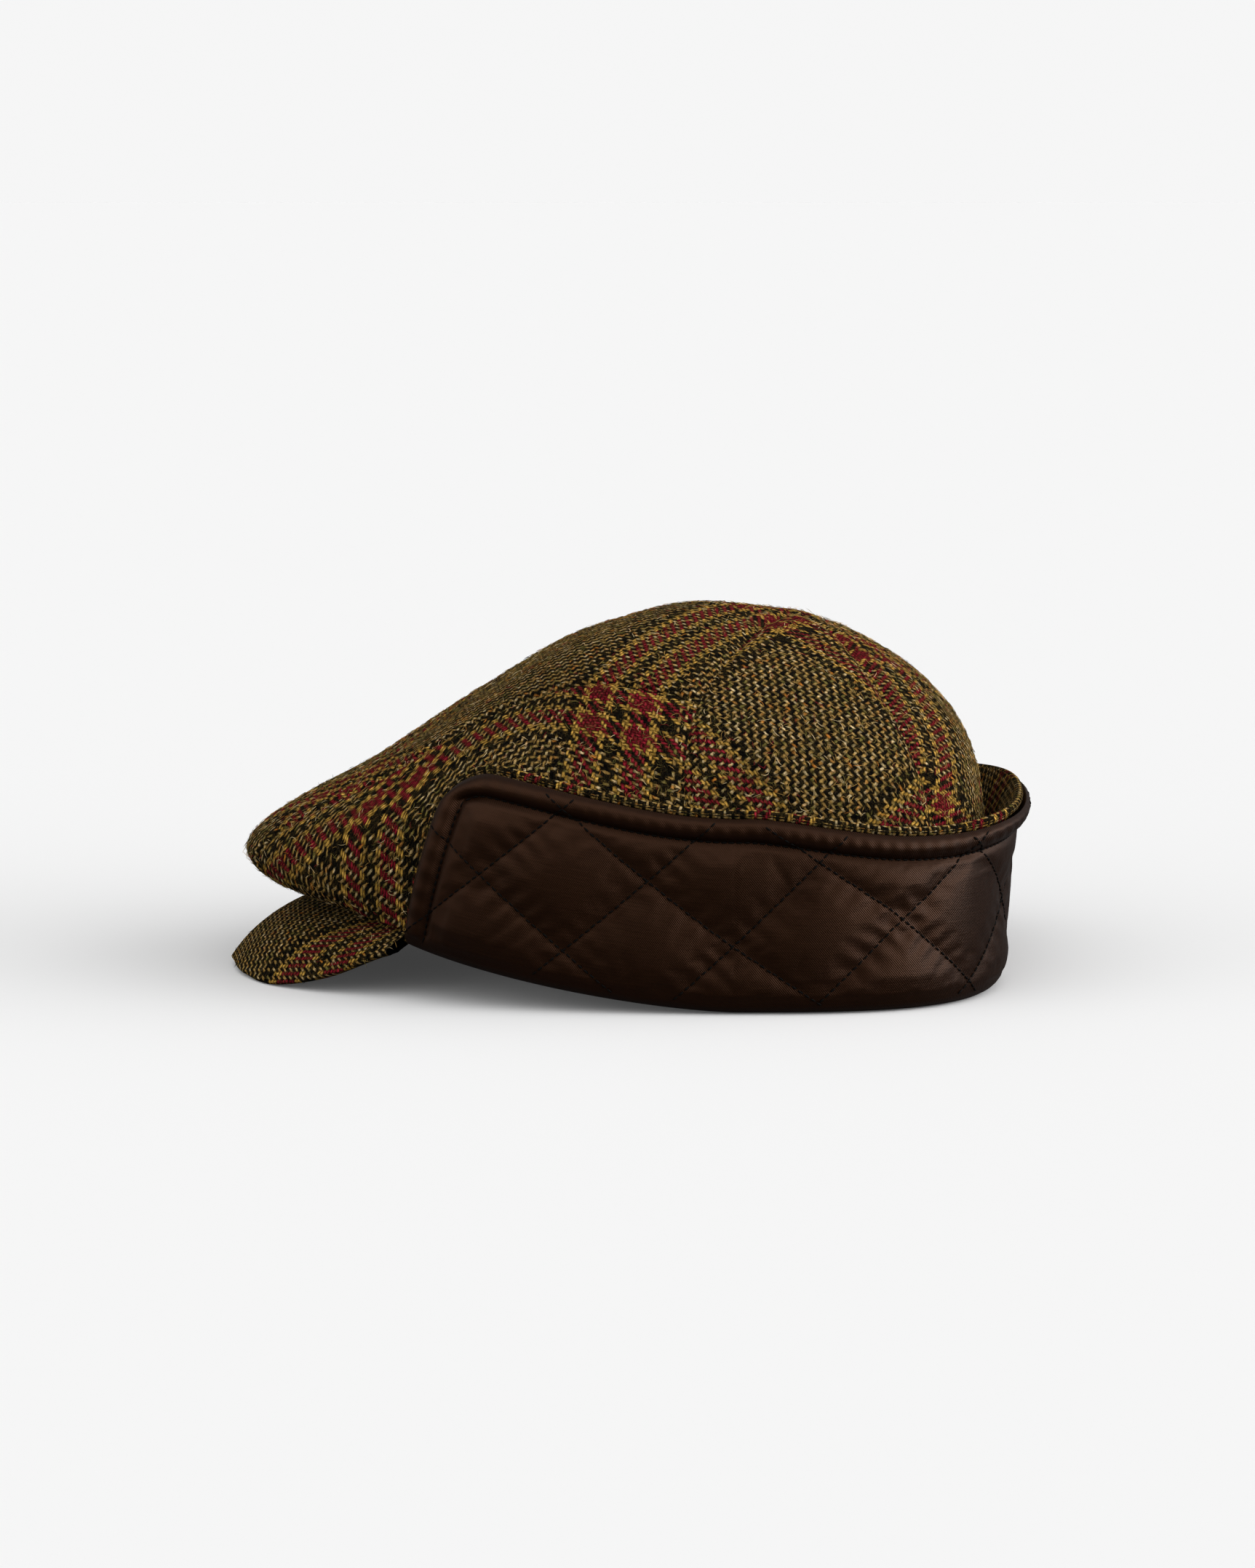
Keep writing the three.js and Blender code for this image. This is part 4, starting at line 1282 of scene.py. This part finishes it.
def stitches_along(angles, heights, lift, mirror):
    """Places of the stitches on one line: middle, and the way from end to end."""
    line = flap_point(angles, heights, -lift)
    length = run_lengths(line, 0)
    pitch = STITCH_LONG + STITCH_GAP
    count = int(length[-1] // pitch)
    places = []
    for k in range(count):
        at = [k * pitch + STITCH_START, k * pitch + STITCH_START + STITCH_LONG]
        ends = np.stack([np.interp(at, length, line[:, j]) for j in range(3)], -1)
        if mirror:
            ends = ends * TO_RIGHT
        places.append((ends.mean(0), ends[1] - ends[0]))
    return places


def quilt_lines():
    """Each quilting line of one side: angles, heights, free edge's heights, lengths from the end, arcs."""
    arc = np.linspace(0.0, end_girth(0.0), QUILT_STEPS)
    a, rise = quilt_base(arc)
    angle = FOLD_GIRTH.angle_at(FOLD_GIRTH.half - arc)
    top = edge_height(angle)
    lines = []
    for kind in (1, -1):
        for number in QUILT_NUMBERS:
            b = (number - a) * kind
            height = QUILT["height"] + rise + QUILT["high"] * b
            from_end = end_girth(height) - arc
            free = free_height(top, from_end, CORNER)
            inside = (height > LINING_TURN[1, 1]) & (height < free - STITCH_FROM_EDGE)
            kept = inside & (from_end > STITCH_FROM_EDGE)
            if kept.sum() > LONG_LINE:
                lines.append([values[kept] for values in (angle, height, free, from_end, arc)])
    return lines


def hem_line():
    """Angles and heights along the hem's stitching, up the front end and along the free edge."""
    from_end, share = flap_columns(0, HEM_LINE_STEPS)
    radius = CORNER - HEM
    inner = np.where(share > 0, CORNER + PAST_CORNER, from_end - HEM)
    kept = inner >= 0
    guess = flap_angle(from_end, share, MID_FLAP)
    free = free_height(edge_height(guess) - HEM, inner, radius)
    angle = flap_angle(from_end, share, free)
    front_heights = np.linspace(HEM_LINE_FOOT, float(free[kept][0]), HEM_FRONT_STEPS)[:-1]
    front_angles = flap_angle(HEM, 0.0, front_heights)
    return np.concatenate([front_angles, angle[kept]]), np.concatenate([front_heights, free[kept]])


def on_satin(point):
    """Where a stitch end lies on the satin, and the satin's outward direction there."""
    _, place, normal, _ = lining.closest_point_on_mesh(Vector((point + CENTRE_SHIFT) * MM))
    return np.array(place) / MM - CENTRE_SHIFT + STITCH_LIFT * np.array(normal), np.array(normal)


def sew():
    """All the flap's stitches in one piece."""
    places = []
    foot_heights = [LINING_TURN[1, 1], LINING_TURN[0, 1], LINING_FOOT]
    foot_depths = [LINING_TURN[1, 0], LINING_TURN[0, 0], 0]
    for mirror in (False, True):
        for angle, height, free, from_end, arc in quilt_lines():
            under = np.interp(height, foot_heights, foot_depths)
            lift = swell(from_end, height, free - height, arc) - under
            places += stitches_along(angle, height, lift, mirror)
        angle, height = hem_line()
        places += stitches_along(angle, height, np.full_like(height, -HEM_DIP), mirror)
    shape, faces = stitch_shape()
    verts = []
    polygons = []
    for k, (middle, along) in enumerate(places):
        start, start_out = on_satin(middle - along / 2)
        end, end_out = on_satin(middle + along / 2)
        middle = (start + end) / 2
        along = end - start
        out = start_out + end_out
        length = np.linalg.norm(along)
        along = along / length
        out = unit(out - along * (out @ along))
        side = np.cross(out, along)
        sizes = np.array([length, STITCH_THICK, STITCH_THICK])
        verts.append(middle + (shape * sizes) @ np.stack([along, side, out]))
        polygons += [[index + k * len(shape) for index in face] for face in faces]
    piece = mesh_piece("flap_stitching", np.concatenate(verts), polygons, THREAD_BLACK)
    smooth_shade(piece, STITCH_SMOOTH)
    return piece


stitching = sew()
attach(stitching, "root")


# Fuzz of the wool

# Hairs on each half of the cap: thickness, length, sideways bow as a share of length, lift off the cloth at
# the middle and the tip, root's depth in it, and the height below which a hair turns the other way
FUZZ_HAIRS = 9000
FUZZ_THICK = 0.075
FUZZ_UNEVEN = (0.6, 1.2)
FUZZ_LENGTH = (1.6, 4.6)
FUZZ_BOW = 0.22
FUZZ_LIFT = (0.05, 0.22)
FUZZ_TIP = 0.45
FUZZ_ROOT = 0.15
FUZZ_LOW = 0.4
FUZZ_SEEDS = (41, 86)

# One hair: a root, two rings of three points and a tip
HAIR_POINTS = 8
HAIR_RING = (0, 2.094, 4.189)
HAIR_FACES = [(0, 2, 1), (0, 3, 2), (0, 1, 3), (1, 2, 5, 4), (2, 3, 6, 5), (3, 1, 4, 6),
              (4, 5, 7), (5, 6, 7), (6, 4, 7)]


def fuzz_material():
    """Loose wool, each hair in the colour of one of the tweed's yarns."""
    material, n, shader = new_material("loose wool")
    tint = n.node("ShaderNodeAttribute", attribute_name="wool")
    shares = [(0.0, BLACK_YARN), (0.30, OLIVE_YARN), (0.58, GOLD_YARN), (0.84, CREAM_YARN),
              (0.92, RUST_YARN), (0.96, WINE_YARN)]
    colour = n.ramp(tint.outputs["Fac"], shares, constant=True)
    n.link(colour, shader.inputs["Base Color"])
    matt(shader, 0.9, 0.1)
    return material


def fuzz_roots(panels, draw):
    """Random places on the panels: point, outward direction and one direction along the cloth."""
    rows = []
    areas = []
    for points in panels:
        corner = points[:-1, :-1]
        du = points[1:, :-1] - corner
        dv = points[:-1, 1:] - corner
        square = np.cross(du, dv)
        areas.append(np.linalg.norm(square, axis=-1).ravel())
        rows.append(np.stack([corner, du, dv, square], -2).reshape(-1, 4, 3))
    rows = np.concatenate(rows)
    areas = np.concatenate(areas)
    chosen = rows[draw.choice(len(rows), FUZZ_HAIRS, p=areas / areas.sum())]
    u, v = draw.random((2, FUZZ_HAIRS, 1))
    root = chosen[:, 0] + u * chosen[:, 1] + v * chosen[:, 2]
    return root, unit(chosen[:, 3]), unit(chosen[:, 1])


def wool_fuzz(name, panels, seed):
    """Loose fibres that stand off the tweed, each a thin closed spindle."""
    draw = np.random.default_rng(seed)
    root, out, along = fuzz_roots(panels, draw)
    turn = draw.random((FUZZ_HAIRS, 1)) * 2 * math.pi
    beside = np.cross(out, along)
    heading = along * np.cos(turn) + beside * np.sin(turn)
    length = draw.uniform(*FUZZ_LENGTH, (FUZZ_HAIRS, 1))
    low = (root + heading * length)[:, 2:] < FUZZ_LOW
    heading = np.where(low, -heading, heading)
    aside = np.cross(out, heading)
    bow = draw.normal(0, FUZZ_BOW, (FUZZ_HAIRS, 1)) * length
    lift = draw.uniform(*FUZZ_LIFT, (FUZZ_HAIRS, 1))
    tip = FUZZ_TIP * draw.random((FUZZ_HAIRS, 1)) ** 3
    thick = FUZZ_THICK * draw.uniform(*FUZZ_UNEVEN, (FUZZ_HAIRS, 1))
    places = [root - out * FUZZ_ROOT,
              root + heading * length * 0.35 + aside * bow + out * lift,
              root + heading * length * 0.70 + aside * bow * 0.9 + out * (lift + tip * 0.6),
              root + heading * length + out * (lift * 0.6 + tip)]
    verts = [places[0]]
    for place in places[1:3]:
        for angle in HAIR_RING:
            verts.append(place + thick * (aside * math.cos(angle) + out * math.sin(angle)))
    verts.append(places[3])
    faces = [[index + HAIR_POINTS * k for index in face] for k in range(FUZZ_HAIRS) for face in HAIR_FACES]
    piece = mesh_piece(name, np.stack(verts, 1).reshape(-1, 3), faces, LOOSE_WOOL)
    tint = piece.data.attributes.new("wool", "FLOAT", "POINT")
    tint.data.foreach_set("value", np.repeat(draw.random(FUZZ_HAIRS), HAIR_POINTS))
    smooth_shade(piece, 180)
    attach(piece, "root")


LOOSE_WOOL = fuzz_material()
front_mid = FRONT_COLUMNS // 2
back_mid = BACK_COLUMNS // 2
peak_mid = PEAK_COLUMNS // 2
peak_top = PEAK[:, :len(PEAK_OUT)]
LEFT_PANELS = [FRONT[front_mid:], SIDE, QUARTER, BACK[:back_mid + 1], peak_top[peak_mid:]]
RIGHT_PANELS = [FRONT[:front_mid + 1], mirrored(SIDE), mirrored(QUARTER), BACK[back_mid:],
                peak_top[:peak_mid + 1]]
wool_fuzz("tweed_fuzz_left", LEFT_PANELS, FUZZ_SEEDS[0])
wool_fuzz("tweed_fuzz_right", RIGHT_PANELS, FUZZ_SEEDS[1])


# Floor, light and camera

# Floor as the camera sees it and as it throws light back, a glow that the camera alone sees, and its size
FLOOR_PALE = (0.84, 0.84, 0.84, 1)
FLOOR_BOUNCE = (0.12, 0.12, 0.12, 1)
FLOOR_LIFT = 0.045
FLOOR_SIZE = 80
FLOOR_DROP = 0.0003


def floor():
    """Plain pale floor, which throws less light back on the cap than it shows."""
    bpy.ops.object.select_all(action="DESELECT")
    bpy.ops.mesh.primitive_plane_add(size=FLOOR_SIZE, location=(0, 0, -FLOOR_DROP))
    plane = bpy.context.object
    plane.name = "studio_floor"
    bpy.ops.object.transform_apply(location=True, rotation=True, scale=True)
    material, n, shader = new_material("pale floor")
    seen = n.node("ShaderNodeLightPath").outputs["Is Camera Ray"]
    n.link(n.mix_colour(seen, FLOOR_BOUNCE, FLOOR_PALE), shader.inputs["Base Color"])
    matt(shader, 0.9, 0.0)
    shader.inputs["Emission Color"].default_value = (1, 1, 1, 1)
    n.link(n.math("MULTIPLY", seen, FLOOR_LIFT), shader.inputs["Emission Strength"])
    plane.data.materials.append(material)


# Glow of the dome from underfoot, 0, to overhead, 1
DOME_GLOW = [(0.0, 0.10), (0.5, 0.13), (0.75, 0.28), (1.0, 0.36)]
DOME_STRENGTH = 0.834
WALL_PALE = (0.92, 0.92, 0.92, 1)

# Soft lamps: direction toward each, tightness and strength
LAMPS = [
    ((0.10, -0.62, 0.82), 9.0, 2.5),
    ((0.94, -0.24, 0.10), 8.0, 10.0),
    ((-0.80, -0.50, 0.32), 5.0, 1.9),
]


def studio_light():
    """A dome of soft light with a few broad lamps in it; the camera sees it as an even pale wall."""
    world = bpy.data.worlds.new("studio")
    SCENE.world = world
    world.use_nodes = True
    n = Nodes(world.node_tree)
    dome = world.node_tree.nodes["Background"]
    place = n.node("ShaderNodeTexCoord")
    _, _, z = n.split(place.outputs["Generated"])
    shades = [(height, (shade, shade, shade, 1)) for height, shade in DOME_GLOW]
    glow = n.ramp(n.plus(0.5, z, 0.5), shades)
    for direction, tightness, strength in LAMPS:
        toward = n.node("ShaderNodeVectorMath", operation="DOT_PRODUCT")
        n.link(place.outputs["Generated"], toward.inputs[0])
        toward.inputs[1].default_value = Vector(direction).normalized()
        lobe = n.math("POWER", n.math("MAXIMUM", toward.outputs["Value"], 0.0), tightness)
        lobe = n.math("MULTIPLY", lobe, strength)
        glow = n.mix_colour(1.0, glow, n.vector(lobe, lobe, lobe), "ADD")
    n.link(glow, dome.inputs["Color"])
    dome.inputs["Strength"].default_value = DOME_STRENGTH
    wall = n.node("ShaderNodeBackground")
    wall.inputs["Color"].default_value = WALL_PALE
    wall.inputs["Strength"].default_value = 1.0
    path = n.node("ShaderNodeLightPath")
    both = n.node("ShaderNodeMixShader")
    n.link(path.outputs["Is Camera Ray"], both.inputs[0])
    n.link(dome.outputs[0], both.inputs[1])
    n.link(wall.outputs[0], both.inputs[2])
    n.link(both.outputs[0], world.node_tree.nodes["World Output"].inputs["Surface"])


CAMERA_LENS = 93.5
CAMERA_TILT = math.radians(8.5)
CAMERA_AWAY = 1.4
CAMERA_AIM = (0.00031, 0.0626)


def camera():
    """Camera level with the cap's left side, looking a little down at it."""
    eye = bpy.data.cameras.new("camera")
    eye.lens = CAMERA_LENS
    eye.sensor_width = 36
    eye.clip_start = 0.01
    eye.clip_end = 200
    stand = bpy.data.objects.new("camera", eye)
    SCENE.collection.objects.link(stand)
    aim_x, aim_z = CAMERA_AIM
    back, up = CAMERA_AWAY * math.cos(CAMERA_TILT), CAMERA_AWAY * math.sin(CAMERA_TILT)
    stand.location = (aim_x, -back, aim_z + up)
    stand.rotation_euler = (math.radians(90) - CAMERA_TILT, 0, 0)
    SCENE.camera = stand


floor()
studio_light()
camera()
SCENE.view_settings.view_transform = "Standard"
SCENE.view_settings.look = "None"
